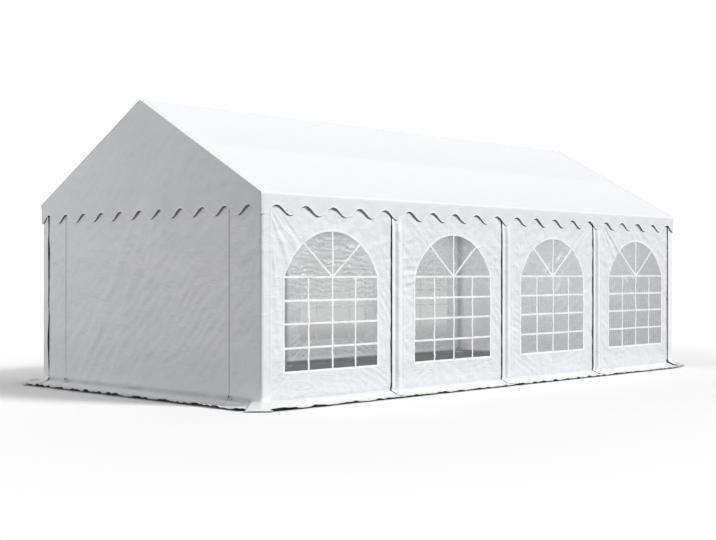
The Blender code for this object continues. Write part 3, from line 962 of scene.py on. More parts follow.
def box_outline(s_line, t_line):
    """Outline of an oblong, anticlockwise from its lower left corner, with the oblong's points."""
    s = [s_line[:-1], np.full(len(t_line) - 1, s_line[-1]), s_line[:0:-1],
         np.full(len(t_line) - 1, s_line[0])]
    t = [np.full(len(s_line) - 1, t_line[0]), t_line[:-1], np.full(len(s_line) - 1, t_line[-1]),
         t_line[:0:-1]]
    return np.column_stack([np.concatenate(s), np.concatenate(t)])


def panel_pattern(start, middle, stop):
    """A side panel with its window hole, its flap or margin and its skirt."""
    field_start = middle - BAY / 2 + FLAP_STOP
    flap_line = spaced(start, field_start, FLAP_CELL, 4)
    field_line = spaced(field_start, stop, PANEL_CELL)
    wall_line = spaced(SKIRT_T, WALL_TOP, PANEL_CELL)
    outer = box_outline(field_line, wall_line)
    inner = seen_from(np.array([middle, HUB_HEIGHT]), window_outline(middle), outer)
    share = np.linspace(0.0, 1.0, RING_LEVELS + 1)[:, None, None]
    return sewn(round_rows(outer[None] * (1 - share) + inner[None] * share),
                grid(flap_line, wall_line),
                grid(np.concatenate([flap_line[:-1], field_line]), SKIRT_LINE))


trial = panel_pattern(-1.08, 0.0, 0.912)
print("a panel has", len(trial[1]), "faces")

# %% [markdown]
# ## Side panels: how each one hangs
# The four panels of a side are cut alike, but each was pulled tight in its own way. The first
# hangs from its upper corner in a fan and has slanting folds in its lower corners. The second is
# dragged sideways at the height of the arch, where the flap pulls on the window. The third is
# pulled from its far upper corner, the fourth from its near one. Each bay gets its own short list
# of folds, measured from the middle of its window.

# %% Folds of the four bays
BAY_FOLDS = {
    1: [(fold_fan, (-0.95, 2.10), -78, -34, 3, 1.6, 0.0046, 11),
        (fold_fan, (-0.88, 1.9), -96, -78, 1.5, 2.4, 0.0036, 12),
        (fold_row, (-0.62, 1.78), -48, 0.060, 3, 0.34, 0.0030, 17),
        (fold_row, (0.84, 1.05), -52, 0.085, 9, 0.30, 0.0032, 13),
        (fold_row, (-0.70, 0.22), 40, 0.066, 8, 0.60, 0.0036, 14),
        (fold_row, (0.62, 0.22), -30, 0.080, 4, 0.55, 0.0036, 15),
        (fold_row, (0.05, 0.17), -8, 0.070, 3, 0.70, 0.0022, 16)],
    2: [(fold_row, (-0.80, 1.34), 8, 0.085, 5, 0.34, 0.0050, 21),
        (fold_row, (-0.76, 0.62), 28, 0.070, 8, 0.24, 0.0026, 22),
        (fold_row, (-0.52, 0.20), 32, 0.075, 5, 0.60, 0.0038, 23),
        (fold_row, (0.80, 0.80), -40, 0.080, 9, 0.26, 0.0026, 24),
        (fold_row, (0.45, 0.20), 18, 0.085, 4, 0.50, 0.0026, 25),
        (fold_row, (-0.78, 1.72), 18, 0.080, 4, 0.30, 0.0024, 26)],
    3: [(fold_fan, (0.96, 2.12), -146, -118, 2.5, 1.7, 0.0050, 31),
        (fold_row, (-0.80, 0.72), -22, 0.075, 8, 0.26, 0.0034, 32),
        (fold_row, (-0.55, 0.20), -28, 0.080, 4, 0.60, 0.0040, 33),
        (fold_row, (0.40, 0.21), 12, 0.080, 4, 0.60, 0.0026, 34)],
    4: [(fold_fan, (-0.92, 2.12), -68, -38, 2.5, 1.6, 0.0050, 41),
        (fold_row, (-0.40, 0.20), 10, 0.080, 4, 0.60, 0.0028, 42),
        (fold_row, (0.80, 0.95), -50, 0.080, 7, 0.24, 0.0026, 43)],
}
print("folds in the four bays:", [len(folds) for folds in BAY_FOLDS.values()])

# %% [markdown]
# ## Side panels: the flap over each post
# Beside the slit the panel is folded back round the steel post, so it stands out in two soft
# ridges with a hollow between them. Under the valance the flap is pressed flat. The slit itself is
# narrow, and a strip of dark tape behind it is a painted shadow that keeps the slit dark.

# %% Flap and marks of a panel


def middle_of(bay):
    """The middle of a bay, along the tent."""
    return -HALF_Y + (bay - 0.5) * BAY


def flap_ridges(from_post, t):
    """A flat fold and a round ridge over a post, at a distance from its middle."""
    pinched = 1 - 0.55 * fade(t, 1.80, 1.98)
    near = 0.014 * fade(-0.026 - from_post, 0.0, 0.022) * fade(from_post, -0.11, -0.07)
    far = 0.025 * fade(from_post, -0.022, 0.016) * fade(0.100 - from_post, 0.0, 0.055)
    step = 0.004 * np.exp(-((from_post - 0.122) / 0.010) ** 2)
    return (near + far + step) * pinched


def panel_marks(bay):
    """Where a panel is whiter at its flap, carries painted shade at its foot, or is creased more."""
    post = -HALF_Y + (bay - 1) * BAY
    foot_shade = painted_foot_shade(0.42, 0.016, 0.12)

    # Whiter where the flap lies double, with a painted highlight along the round ridge over the post.
    def double_and_highlight(s, t):
        fold = fade(post - 0.034 - s, 0.0, 0.008)
        ridge = fade(s, post + 0.012, post + 0.022) * fade(post + 0.070 - s, 0.0, 0.020)
        return (bay > 1) * (0.8 * fold + 0.7 * ridge)

    def painted_shade(s, t):
        # Painted shade: a little darker over the lower half of the wall, on top of the painted shade of
        # the foot.
        low = 0.07 * fade(0.50 - t, 0.0, 0.25) * fade(t, CREASE_HEIGHT, CREASE_HEIGHT + 0.02)
        return foot_shade(s, t) + low

    def worn(s, t):
        return 1.8 * fade(0.55 - t, 0.0, 0.30) * fade(t, CREASE_HEIGHT - 0.05, CREASE_HEIGHT)

    return {"double_and_highlight": double_and_highlight, "painted_shade": painted_shade, "worn": worn}


print("window middles at", [round(middle_of(bay), 2) for bay in BAY_FOLDS])

# %% Relief and place of a panel
FLAP_START = 0.08
SLIT = 0.016
BACK_SLIT = 0.125
LAST_SLIT = 0.026
CORNER_MARGIN = 0.03


def panel_relief(bay, side):
    """The whole relief of one panel, as a function of its flat places."""
    middle = middle_of(bay)
    post = middle - BAY / 2
    seed = bay * 17 + (0 if side > 0 else 300)
    folds = BAY_FOLDS[bay if side > 0 else (bay + 1) % 4 + 1]

    def relief(s, t):
        depth = wall_wrinkles(s, t, seed, 38.0 if bay % 2 else -33.0, 1.15)
        depth = depth + all_folds(folds, s - middle, t)
        depth = depth * (0.35 + 0.65 * fade(s, post + 0.07, post + 0.16))
        if bay > 1:
            depth = depth + flap_ridges(s - post, t)
        depth = clear_of_tubes(depth, t, from_posts(s))
        by_corner = 0.018 * np.exp(-((s + HALF_Y - 0.09) / 0.14) ** 2) * near_edge(t, 0.14)
        free = 0.75 * fade(from_posts(s), 0.0, 0.16)
        return over_the_foot(depth, s, t, seed, 1.0, free) + by_corner

    return relief


def side_place(bay, side):
    """Where the flat places of a side panel hang."""
    seed = 60 + bay + (0 if side > 0 else 20)
    first = -HALF_Y + 0.25
    last = HALF_Y - BACK_SLIT - 0.30

    def place(s, t):
        out, height = along(FOOT, WALL_TOP - t)
        out = out + edge_wave(s, t, seed)
        lean = np.zeros_like(s)
        if bay == 1:
            lean = -fade(first - s, 0.0, 0.28) * (0.5 if side > 0 else 0.3)
        if bay == 4:
            to_end = fade(s - last, 0.0, 0.27)
            lean = to_end * 1.4
            out = out * (1 - 0.45 * to_end)
        return side * (HALF_X + out), s + lean * np.maximum(out, 0.0), height

    return place


print("a slit is", SLIT * 1000, "mm wide")

# %% Hang the eight side panels
BORDER_LAPS = (0.017, 0.009, 0.001, -0.009)
BORDER_RAISE = 0.0016
TAPE_BEHIND = 0.0035
TAPE_LAPS = (0.004, 0.040)
TAPE_FOOT = EDGE_T + 0.004
TAPE_CELL = 0.018
# Whiter all over: tape that lies double on the cloth or film, and a painted highlight on the bindings.
ALL_WHITENED = {"double_and_highlight": lambda s, t: np.ones_like(s)}


def all_bays():
    """Side, its name, bay and the bay's middle, for all eight."""
    for side, side_name in SIDES:
        for bay in BAY_FOLDS:
            yield side, side_name, bay, middle_of(bay)


def raised(relief, height):
    """The same relief, a little farther out."""
    return lambda s, t: relief(s, t) + height


def behind(s, t):
    """A little behind the wall's own surface."""
    return np.full_like(s, -TAPE_BEHIND)


def slit_shadow_tape(name, low, high, place, relief, outward, foot=TAPE_FOOT):
    """A strip of dark tape, a painted shadow, from under the valance down to its foot."""
    cut = oblong(low, high, foot, WALL_TOP - TUBE_MARGIN, TAPE_CELL)
    return hang(name, cut, place, relief, SLIT_SHADOW_TAPE, outward)


for side, side_name, bay, middle in all_bays():
    start = -HALF_Y + CORNER_MARGIN if bay == 1 else middle - BAY / 2 - FLAP_START
    stop = HALF_Y - BACK_SLIT - LAST_SLIT if bay == 4 else middle + BAY / 2 - FLAP_START - SLIT
    pattern = panel_pattern(start, middle, stop)
    place = side_place(bay, side)
    relief = panel_relief(bay, side)
    panel = hang(f"panel_{side_name}_{bay}", pattern, place, relief, WALL_CLOTH, side, panel_marks(bay))
    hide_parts(f"side_panel_{side_name}_{bay}", f"skirt_{side_name}")
    band = sewn(round_rows(np.stack([window_outline(middle, lap) for lap in BORDER_LAPS])))
    border = hang(f"window_border_{side_name}_{bay}", band, place, raised(relief, BORDER_RAISE), TAPE,
                  side, ALL_WHITENED)
    tape = slit_shadow_tape(f"slit_tape_{side_name}_{bay}", stop - TAPE_LAPS[0], stop + SLIT + TAPE_LAPS[1],
                     place, behind, side)

# %% [markdown]
# ## Window film
# The film is welded into the hole from behind, so along the border it follows the panel exactly.
# Inside the border it goes its own way. A lattice whose rows get narrower with the arch fills the
# window. The first window is rippled above its middle, the second less so, and the third and the
# fourth are smooth. Milky streaks, painted highlights, fan out over all but the first, from a
# corner that pulls. The windows of the left side repeat those of the right side, seen from
# outside.

# %% Flat cut of a film
FILM_COLUMNS = 66
FILM_ROWS = 60
FILM_ARCH_ROWS = 30
FILM_LAP = 0.012
FILM_TIP = 0.02


def film_pattern(middle):
    """A lattice that fills a window, with a lap behind the border and a short row at its tip."""
    half, radius, centre, spring, reach = window_arch(FILM_LAP)
    turn = np.linspace(reach, FILM_TIP, FILM_ARCH_ROWS)[1:]
    heights = np.concatenate([np.linspace(WINDOW_SILL - FILM_LAP, spring, FILM_ROWS),
                              centre + radius * np.cos(turn)])
    halves = np.concatenate([np.full(FILM_ROWS, half), radius * np.sin(turn)])
    across = np.linspace(-1.0, 1.0, FILM_COLUMNS + 1)
    return lattice(*np.broadcast_arrays(middle + halves[:, None] * across, heights[:, None]))


def inside_border(u, t):
    """0 at the border and 1 farther in."""
    half, radius, centre = window_arch()[:3]
    to_arch = radius - np.hypot(u, np.maximum(t - centre, 0.0))
    room = np.minimum(np.minimum(half - np.abs(u), t - WINDOW_SILL), to_arch)
    return fade(room, 0.004, 0.09)


print("a film has", len(film_pattern(0.0)[1]), "faces")

# %% Ripples and streaks of a film
FILM_CRUMPLE = {1: 0.95, 2: 0.30}
FILM_LEAN = (0.94, 0.34)
RIBS_BELOW = 1.35
STREAKS = {
    2: ((-1.05, 1.16), 5, 38, 5, 1.0, 0.55),
    3: ((1.00, 2.15), -158, -122, 3, 1.75, 0.85),
    4: ((-0.92, 2.12), -60, -36, 3, 1.65, 0.75),
}


def right_bay(bay, side):
    """The bay of the right side whose film this one is like."""
    return bay if side > 0 else 5 - bay


def film_amount(like, u, t):
    """How rippled the film is, from 0 for smooth to 1."""
    if like > 2:
        return 0.05 + 0.08 * fade(t, 1.1, 1.5)
    high = fade(t, 0.78, 1.38) * (1 - 0.25 * fade(t, 1.6, 1.8))
    sideways = 1.0 if like == 1 else 0.4 + 0.6 * fade(-u, -0.3, 0.5)
    patchy = 0.8 + 0.5 * soft_noise(u / 0.28 + 3, t / 0.24, 77 + like)
    return np.clip(0.10 + FILM_CRUMPLE[like] * high * sideways * patchy, 0.0, 1.0)


def film_streaks(like, u, t):
    """Painted highlights: milky streaks that fan out from a corner that pulls on the film."""
    if like not in STREAKS:
        return np.zeros_like(u)
    corner, start, stop, count, reach, strength = STREAKS[like]
    away, share = from_corner(u, t, corner, start, stop)
    sides = fade(share, 0.0, 0.15) * fade(1 - share, 0.0, 0.15)
    drift = 1.1 * soft_noise(away / 0.3, share * 3, like)
    line = fade(np.cos(2 * math.pi * count * share + drift), 0.30, 1.0)
    broken = 0.65 + 0.6 * soft_noise(away / 0.16, share * 7, 7)
    return np.clip(strength * line * sides * fade(reach - away, 0.0, 0.5) * broken, 0, 1)


def film_marks(bay, side):
    """How rippled a film is at its flat places, and where its painted highlights lie as streaks and ribs.
    """
    middle = middle_of(bay)
    like = right_bay(bay, side)
    return {"crumple": lambda s, t: film_amount(like, s - middle, t) * inside_border(s - middle, t),
            "streak_highlight": lambda s, t: film_streaks(like, s - middle, t),
            "rib_highlight": lambda s, t: (like > 2) * fade(RIBS_BELOW - t, 0.0, 0.25)}


def film_relief(bay, side):
    """Relief of a film: the panel's, with its own ripples inside the border."""
    base = panel_relief(bay, side)
    middle = middle_of(bay)
    like = right_bay(bay, side)
    seed = 500 + bay * 9 + (0 if side > 0 else 100)

    def relief(s, t):
        run = s * FILM_LEAN[0] + t * FILM_LEAN[1]
        across = -s * FILM_LEAN[1] + t * FILM_LEAN[0]
        small = 0.0022 * soft_noise(run / 0.11, across / 0.055, seed)
        sharp = 0.0030 * pressed(run / 0.15, across / 0.085, seed + 1)
        bow = -0.006 * soft_noise(s / 0.5, t / 0.6, seed + 2)
        own = film_amount(like, s - middle, t) * (small + sharp) + bow
        return base(s, t) + own * inside_border(s - middle, t)

    return relief


print("windows with streaks:", list(STREAKS))

# %% Hang the films
FILM_BEHIND = -0.0014
FILMS = {}
for side, side_name, bay, middle in all_bays():
    pattern = film_pattern(middle)
    film = hang(f"film_{side_name}_{bay}", pattern, side_place(bay, side),
                raised(film_relief(bay, side), FILM_BEHIND), FILM, side, film_marks(bay, side))
    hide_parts(f"window_{side_name}_{bay}")
    FILMS[side, bay] = (film, pattern)
print("films hung:", len(FILMS))

# %% [markdown]
# ## Window bars
# The bars are only ribbons of white cloth welded to the film: four levels, three uprights, of
# which the middle one runs on into the arch, and a slanting spoke at each side of it. Each is a
# narrow lattice that is hung with the film's own relief, so it follows every ripple. They lie at
# slightly different heights so that crossing ribbons don't fight for the same place.

# %% Weld the bars to the films
BAR = 0.022
BAR_CELL = 0.02
BAR_LEVELS = (1.314, 1.072, 0.835, 0.588)
BAR_UPRIGHTS = ((-0.3475, WINDOW_SPRING), (0.0, WINDOW_TOP), (0.3475, WINDOW_SPRING))
SPOKE_ENDS = ((-0.440, 1.685), (0.440, 1.685))
BAR_RAISE = {"levels": 0.0002, "uprights": 0.0010, "spokes": 0.0006}


def ribbon(start, end):
    """A straight strip between two flat places."""
    run = np.subtract(end, start)
    length = float(np.hypot(*run))
    run /= length
    points, faces = grid(spaced(0, length, BAR_CELL, 2), np.linspace(-BAR / 2, BAR / 2, 3))
    return start + points[:, :1] * run + points[:, 1:] * np.array([-run[1], run[0]]), faces


def bar_pattern(kind, middle):
    """The level bars, the uprights or the spokes of a window."""
    if kind == "levels":
        return joined(*[ribbon((middle - WINDOW_HALF, level), (middle + WINDOW_HALF, level))
                        for level in BAR_LEVELS])
    if kind == "uprights":
        return joined(*[ribbon((middle + across, WINDOW_SILL), (middle + across, top))
                        for across, top in BAR_UPRIGHTS])
    return joined(*[ribbon((middle, WINDOW_SPRING), (middle + across, top))
                    for across, top in SPOKE_ENDS])


for side, side_name, bay, middle in all_bays():
    relief = film_relief(bay, side)
    bars = [hang(f"window_{kind}_{side_name}_{bay}", bar_pattern(kind, middle), side_place(bay, side),
                 raised(relief, height), TAPE, side, ALL_WHITENED) for kind, height in BAR_RAISE.items()]
    film, pattern = FILMS[side, bay]

# %% [markdown]
# ## Corner sleeves
# At each corner a strip of the wall cloth is folded round the corner post like a sleeve, from one
# wall to the other. Lower down it opens out and lies flat on the ground in a squared tongue over
# the ends of the skirts. The flat cut is a plain strip: its upper part is hung round the bent
# corner, its lower part is drawn along a curve to a straight line on the ground.

# %% Shape of the corner sleeves
SLEEVE_ROUND = 0.034
SLEEVE_OFF = 0.0018
TONGUE_STARTS = 0.115
TONGUE_LENGTH = 0.36
TONGUE_BEND = 0.42
TONGUE_HEIGHTS = (0.055, 0.022, 0.013)
SLEEVE_COLUMNS = 37
SLEEVE_ROWS = 131
WRAP_GABLE = 0.14
WRAP_SIDE = {-1: 0.13, 1: BACK_SLIT}
LOOSE_SLEEVE = (-1, -1)
TONGUES = {
    (1, -1): ((0.110, 0.320), (0.300, 0.110)),
    (-1, -1): ((-0.070, 0.310), (0.270, 0.120)),
    (1, 1): ((0.030, 0.270), (0.160, 0.060)),
    (-1, 1): ((0.100, 0.310), (0.300, 0.115)),
}


def sleeve_place(side, end, route, close):
    """Where a sleeve's flat places go: round the corner above, out on the ground below.

    close lays the tongue's edge at the gable down on the skirt, the more the nearer it is to 1.
    """
    length = route[0][-1]
    face_y = FRONT_FACE if end < 0 else HALF_Y
    first, last = TONGUES[side, end]

    def place(s, t):
        in_x, in_y = along(route, s)
        upper_x = side * (HALF_X + SLEEVE_OFF - in_x)
        upper_y = end * (face_y + SLEEVE_OFF - in_y)
        share = np.clip(s / length, 0.0, 1.0)
        edge_x = side * (HALF_X + first[0] + share * (last[0] - first[0]))
        edge_y = end * (HALF_Y + first[1] + share * (last[1] - first[1]))
        down = np.clip((TONGUE_STARTS - t) / TONGUE_LENGTH, 0.0, 1.0)
        weights = ((1 - down) ** 3, 3 * down * (1 - down) ** 2, 3 * down ** 2 * (1 - down), down ** 3)
        low = 1 - close * np.exp(-(s / 0.06) ** 2)

        def curved(above, *stops):
            below = sum(weight * stop for weight, stop in zip(weights, stops))
            return np.where(t > TONGUE_STARTS, above, below)

        def out_to(upper, edge):
            return curved(upper, upper, upper, edge * TONGUE_BEND + upper * (1 - TONGUE_BEND), edge)

        first_height, next_height, last_height = TONGUE_HEIGHTS
        height = curved(t, TONGUE_STARTS, first_height * low, next_height * low, last_height)
        return out_to(upper_x, edge_x), out_to(upper_y, edge_y), height

    return place


def sleeve_relief(length, seed, loose):
    """Soft upright waves, and a free edge that stands off where the sleeve is loose."""

    def relief(s, t):
        waves = 0.0009 * soft_noise(s / 0.06, t / 0.55, seed)
        waves = waves + 0.0007 * soft_noise(s / 0.09, t / 0.12, seed + 1)
        sway = np.clip(0.75 + 0.9 * soft_noise(0, t / 0.36, seed + 2), 0.1, 1.6)
        edge_off = loose * np.exp(-(s / 0.045) ** 2) * sway
        hems = 0.0006 * fade(s, 0.022, 0.018) + 0.0045 * np.exp(-((length - s - 0.012) / 0.010) ** 2)
        return (np.abs(waves) + edge_off + hems) * fade(t, 0.05, 0.30)

    return relief


print("sleeves wrap", WRAP_GABLE, "m of the gable and", WRAP_SIDE[-1], "m of the side")

# %% Hang the corner sleeves
for side, side_name in SIDES:
    for end, end_name in ENDS:
        route = rounded_route([(WRAP_GABLE, 0.0), (0.0, 0.0), (0.0, WRAP_SIDE[end])], [SLEEVE_ROUND])
        length = float(route[0][-1])
        is_loose = (side, end) == LOOSE_SLEEVE
        # Painted light: the loose sleeve's gable part and the back sleeves' side parts are painted
        # lighter, as strips that catch more light than the wall.
        gable_painted_light = 0.55 if is_loose else 0.0
        side_painted_light = 0.9 if end > 0 else 0.0
        pattern = grid(np.linspace(0.0, length, SLEEVE_COLUMNS),
                       np.linspace(TONGUE_STARTS - TONGUE_LENGTH, WALL_TOP, SLEEVE_ROWS))
        sleeve = hang(f"corner_sleeve_{side_name}_{end_name}", pattern,
                      sleeve_place(side, end, route, 0.6 if is_loose else 0.0),
                      sleeve_relief(length, 800 + side + 3 * end, 0.018 if is_loose else 0.001),
                      WALL_CLOTH, -side * end,
                      {"double_and_highlight": lambda s, t: gable_painted_light * fade(0.15 - s, 0.0, 0.02)
                       + side_painted_light * fade(s, 0.15, 0.17)})
        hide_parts(f"side_panel_{side_name}_1" if end < 0 else "gable_wall_back")

# %% [markdown]
# ## Gable walls and their doors
# A gable is closed by a narrow strip of wall at each side, a header above, and between them one
# wide door panel that zips shut and rolls up. The photo shows it closed, so it hangs as a flat
# sheet with soft slanting wrinkles. Wall and door run on into the skirt like the side panels.

# %% Shape of the gable walls
GABLES = ((-1, "front", FRONT_FACE, 1000), (1, "back", HALF_Y, 1100))
DOOR_CELL = 0.024
STRIP_CELL = 0.02
HEADER_CELL = 0.03
ZIP_GAP = 0.004
STRIP_OUTER = HALF_X - 0.035
FLARES = {(1, -1): 0.25, (-1, -1): 0.0, (1, 1): 0.1, (-1, 1): 0.4}
CORNER_TAPE = (-0.026, 0.002)
CORNER_TAPE_RAISE = 0.0012
CORNER_TAPE_FOOT = CREASE_HEIGHT + 0.02
# Painted shade in the crease at the foot and on the outer skirt; a whiter hem, with a painted highlight on
# its lip.
GABLE_MARKS = {"painted_shade": painted_foot_shade(0.80, 0.030, 0.60), "double_and_highlight": hem}
GABLE_FOLDS = [(fold_fan, (0.35, 2.9), -128, -78, 5, 6.5, 0.0050, 6),
               (fold_row, (-0.9, 0.55), 50, 0.15, 6, 1.0, 0.0042, 7),
               (fold_row, (1.0, 0.9), 46, 0.11, 9, 0.8, 0.0030, 8),
               (fold_row, (0.1, 0.75), 42, 0.12, 8, 1.1, 0.0024, 9)]


def wall_cut(s_low, s_high, top, cell):
    """A plain strip of wall with its skirt, with closer rows round the crease."""
    return grid(spaced(s_low, s_high, cell), np.concatenate([SKIRT_LINE[:-1], spaced(SKIRT_T, top, cell)]))


def gable_place(end, face, seed):
    """Where the flat places of a gable wall hang, with its corners running out."""

    def place(s, t):
        out, height = along(FOOT, WALL_TOP - t)
        out = out + edge_wave(s, t, seed)
        to_corner = fade(np.abs(s), STRIP_OUTER - 0.25, STRIP_OUTER)
        flare = np.where(s > 0, FLARES[1, end], FLARES[-1, end])
        return s + np.sign(s) * to_corner * np.maximum(out, 0.0) * flare, end * (face + out), height

    return place


def gable_relief(seed):
    """Soft slanting wrinkles of a gable wall, calm along the zips."""

    def relief(s, t):
        depth = wall_wrinkles(s, t, seed, 40.0, 0.85) + all_folds(GABLE_FOLDS, s, t, seed)
        depth = depth * (1 - 0.8 * np.exp(-((np.abs(s) - DOOR_EDGE) / 0.035) ** 2))
        depth = clear_of_tubes(depth, t, np.maximum(HALF_X - np.abs(s), 0))
        free = fade(HALF_X - np.abs(s), 0.08, 0.24)
        return over_the_foot(depth, s, t, seed, 1.5, free)

    return relief


print("gable doors are", round(2 * DOOR_EDGE, 2), "m wide")

# %% Hang the gable walls
for end, end_name, face, seed in GABLES:
    place = gable_place(end, face, seed)
    relief = gable_relief(seed)
    pattern = wall_cut(-DOOR_EDGE, DOOR_EDGE, DOOR_TOP, DOOR_CELL)
    door = hang(f"door_{end_name}", pattern, place, relief, WALL_CLOTH, -end, GABLE_MARKS)
    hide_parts(f"gable_door_{end_name}", f"skirt_{end_name}")
    for side, side_name in SIDES:
        low, high = sorted((side * (DOOR_EDGE + ZIP_GAP), side * STRIP_OUTER))
        pattern = wall_cut(low, high, WALL_TOP, STRIP_CELL)
        strip = hang(f"gable_strip_{end_name}_{side_name}", pattern, place, relief, WALL_CLOTH, -end,
                     GABLE_MARKS)
        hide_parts(f"gable_wall_{end_name}", f"skirt_{end_name}")
        if (side, end) == LOOSE_SLEEVE:
            # The slit at the loose corner gets the same dark tape, a painted shadow.
            low, high = [WRAP_GABLE - HALF_X + step for step in CORNER_TAPE]
            slit_shadow_tape("corner_tape_front_left", low, high, place,
                                   raised(relief, CORNER_TAPE_RAISE), -end, CORNER_TAPE_FOOT)
    pattern = oblong(-DOOR_EDGE, DOOR_EDGE, DOOR_TOP + ZIP_GAP, WALL_TOP, HEADER_CELL)
    header = hang(f"gable_header_{end_name}", pattern, place, relief, WALL_CLOTH, -end)
    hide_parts(f"gable_wall_{end_name}")

# %% [markdown]
# ## Zips
# Two zips hold each door. A zip is a spiral of plastic between two tapes: from a few steps away it
# is a thin raised line, so its section is a low arch on a flat band, hung on the wall's own relief.
# The slider is a small metal block with a pull tab, drawn down to the foot of the wall.

# %% Finishes and shapes of the zips
ZIP_HALF = 0.012
ZIP_FOOT = 0.045
ZIP_RAISE = 0.0009
ZIP_ROWS = 90
COIL_COLUMNS = 7
COIL_HALF = 0.0045
COIL_RISE = 0.0028
SLIDER_HEIGHT = 0.092
SLIDER_OFF = 0.008
ZIP_COIL = cloth_material("zip_coil", (0.86, 0.865, 0.87), (0.82, 0.825, 0.83), 0.4, 0.0006, 0.0005,
                          crease=0.0)
SLIDER, slider_shader = new_material("slider_metal", Metallic=0.4)
look = place_group(SLIDER.node_tree, "zinc_crystals", Crystals_per_metre=500.0,
                   Dark=(0.05, 0.05, 0.052), Bright=(0.10, 0.10, 0.105))
set_up(slider_shader, Base_Color=look["Color"], Roughness=look["Roughness"])


def small_block(name, parts, finish):
    """Rounded blocks in one mesh, each given as (middle, size)."""
    shape = bmesh.new()
    for middle, size in parts:
        made = bmesh.ops.create_cube(shape, size=1.0)
        bmesh.ops.scale(shape, vec=size, verts=made["verts"])
        edges = list({edge for corner in made["verts"] for edge in corner.link_edges})
        rounded = bmesh.ops.bevel(shape, geom=edges, offset=min(size) * 0.3, segments=3, affect="EDGES",
                                  profile=0.5)
        corners = {corner for face in rounded["faces"] for corner in face.verts}
        bmesh.ops.translate(shape, vec=middle, verts=list(corners))
    mesh = bpy.data.meshes.new(name)
    shape.to_mesh(mesh)
    shape.free()
    return add_piece(name, mesh, finish)


def zip_relief(middle, relief):
    """The wall's relief with the arch of the coil on it."""

    def with_coil(s, t):
        coil = np.clip(1 - ((s - middle) / COIL_HALF) ** 2, 0, 1)
        return relief(s, t) + ZIP_RAISE + COIL_RISE * coil

    return with_coil


print("a zip is", 2 * ZIP_HALF * 1000, "mm wide")

# %% Sew in the zips
across = np.concatenate([[-ZIP_HALF], np.linspace(-COIL_HALF, COIL_HALF, COIL_COLUMNS), [ZIP_HALF]])
down = np.linspace(ZIP_FOOT, DOOR_TOP, ZIP_ROWS)
for end, end_name, face, seed in GABLES:
    for side, side_name in SIDES:
        middle = side * (DOOR_EDGE + ZIP_GAP / 2)
        hang(f"zip_{end_name}_{side_name}", grid(middle + across, down), gable_place(end, face, seed),
             zip_relief(middle, gable_relief(seed)), ZIP_COIL, -end)
        out = face + SLIDER_OFF
        small_block(f"zip_slider_{end_name}_{side_name}",
                    [((middle, end * out, SLIDER_HEIGHT), (0.014, 0.009, 0.018)),
                     ((middle, end * (out + 0.006), SLIDER_HEIGHT - 0.014), (0.010, 0.003, 0.022))],
                    SLIDER)
print("zips: two at each gable")

# %% [markdown]
# ## The roof cover
# The cover is one piece of cloth: up from one scalloped valance, over the eave, over the ridge
# and down to the other valance. Between the rafters and the purlin it sags by a finger's breadth,
# and where it bends over a tube it is round, not sharp. That bend catches the sun and draws the
# thin bright line of the eave.

# %% The cross-section and the scallops
VALANCE_SHORT = 0.12
VALANCE_DEEP = 0.22
SIDE_LOBES = 20
GABLE_LOBES = 11
LOBE_STEPS = 16
VALANCE_ROWS = 10
SECTION_DROP = 0.26
CORNER_ROUND = 0.026
QUARTER = CORNER_ROUND * math.pi / 4
SAG = 0.017
SECTION_FOOT = EAVE - SECTION_DROP
ROOF_SECTION = rounded_route(
    [(-ROOF_X, SECTION_FOOT), (-ROOF_X, EAVE), (0.0, RIDGE), (ROOF_X, EAVE), (ROOF_X, SECTION_FOOT)],
    [0.014, 0.030, 0.014])
SECTION_HALF = ROOF_SECTION[0][-1] / 2
EAVE_S = math.hypot(ROOF_X, RIDGE - EAVE) - 0.004


def flat_half(half_run):
    """Half the flat length of a valance that turns a round corner at each end."""
    return half_run - CORNER_ROUND + QUARTER


def scallop_depth(place, half_run, lobes):
    """Depth of a valance below the eave, deepest at the corners."""
    half = flat_half(half_run)
    middle = (VALANCE_SHORT + VALANCE_DEEP) / 2
    swing = (VALANCE_DEEP - VALANCE_SHORT) / 2
    return middle + swing * np.cos(math.pi * lobes * (place + half) / half)


def scalloped(half_run, lobes):
    """Flat places along a valance, and its depth at each of them."""
    half = flat_half(half_run)
    run = np.linspace(-half, half, lobes * LOBE_STEPS + 1)
    return run, scallop_depth(run, half_run, lobes)


def valance_wave(place, half_run, lobes, share, seed):
    """How far a valance stands off, with share 0 at the eave and 1 at its edge."""
    half = flat_half(half_run)
    turn = math.pi * lobes * (place + half) / half
    wave = 0.001 - 0.005 * np.cos(turn + 0.6 * soft_noise(place / 0.7, 0, seed))
    uneven = 0.003 * soft_noise(place / 0.33, 2, seed + 1)
    at_corner = fade(half - np.abs(place), 0.0, 0.12)
    return (wave + uneven) * at_corner * np.clip(share, 0, 1) ** 1.4


def round_corner(place, half_run, near_eave):
    """Distance along a wall and pull inward where a valance turns its corner."""
    beyond = np.clip(np.abs(place) - (half_run - CORNER_ROUND), 0.0, QUARTER)
    angle = beyond / CORNER_ROUND
    along_wall = np.minimum(np.abs(place), half_run - CORNER_ROUND) + CORNER_ROUND * np.sin(angle)
    pull = CORNER_ROUND * (1 - np.cos(angle)) * near_eave
    straight = np.abs(place) * half_run / flat_half(half_run)
    return np.sign(place) * (along_wall * near_eave + straight * (1 - near_eave)), pull


print(f"the cover is {2 * SECTION_HALF:.2f} m over the ridge and valances at most")

# %% Hang the roof cover
BEND = 0.03
HALF_LINES = np.concatenate([np.linspace(0.0, BEND, 4), np.linspace(BEND, EAVE_S - BEND, 46)[1:],
                             np.linspace(EAVE_S - BEND, EAVE_S, 5)[1:]])
SLOPE_LINES = np.concatenate([-HALF_LINES[:0:-1], HALF_LINES])


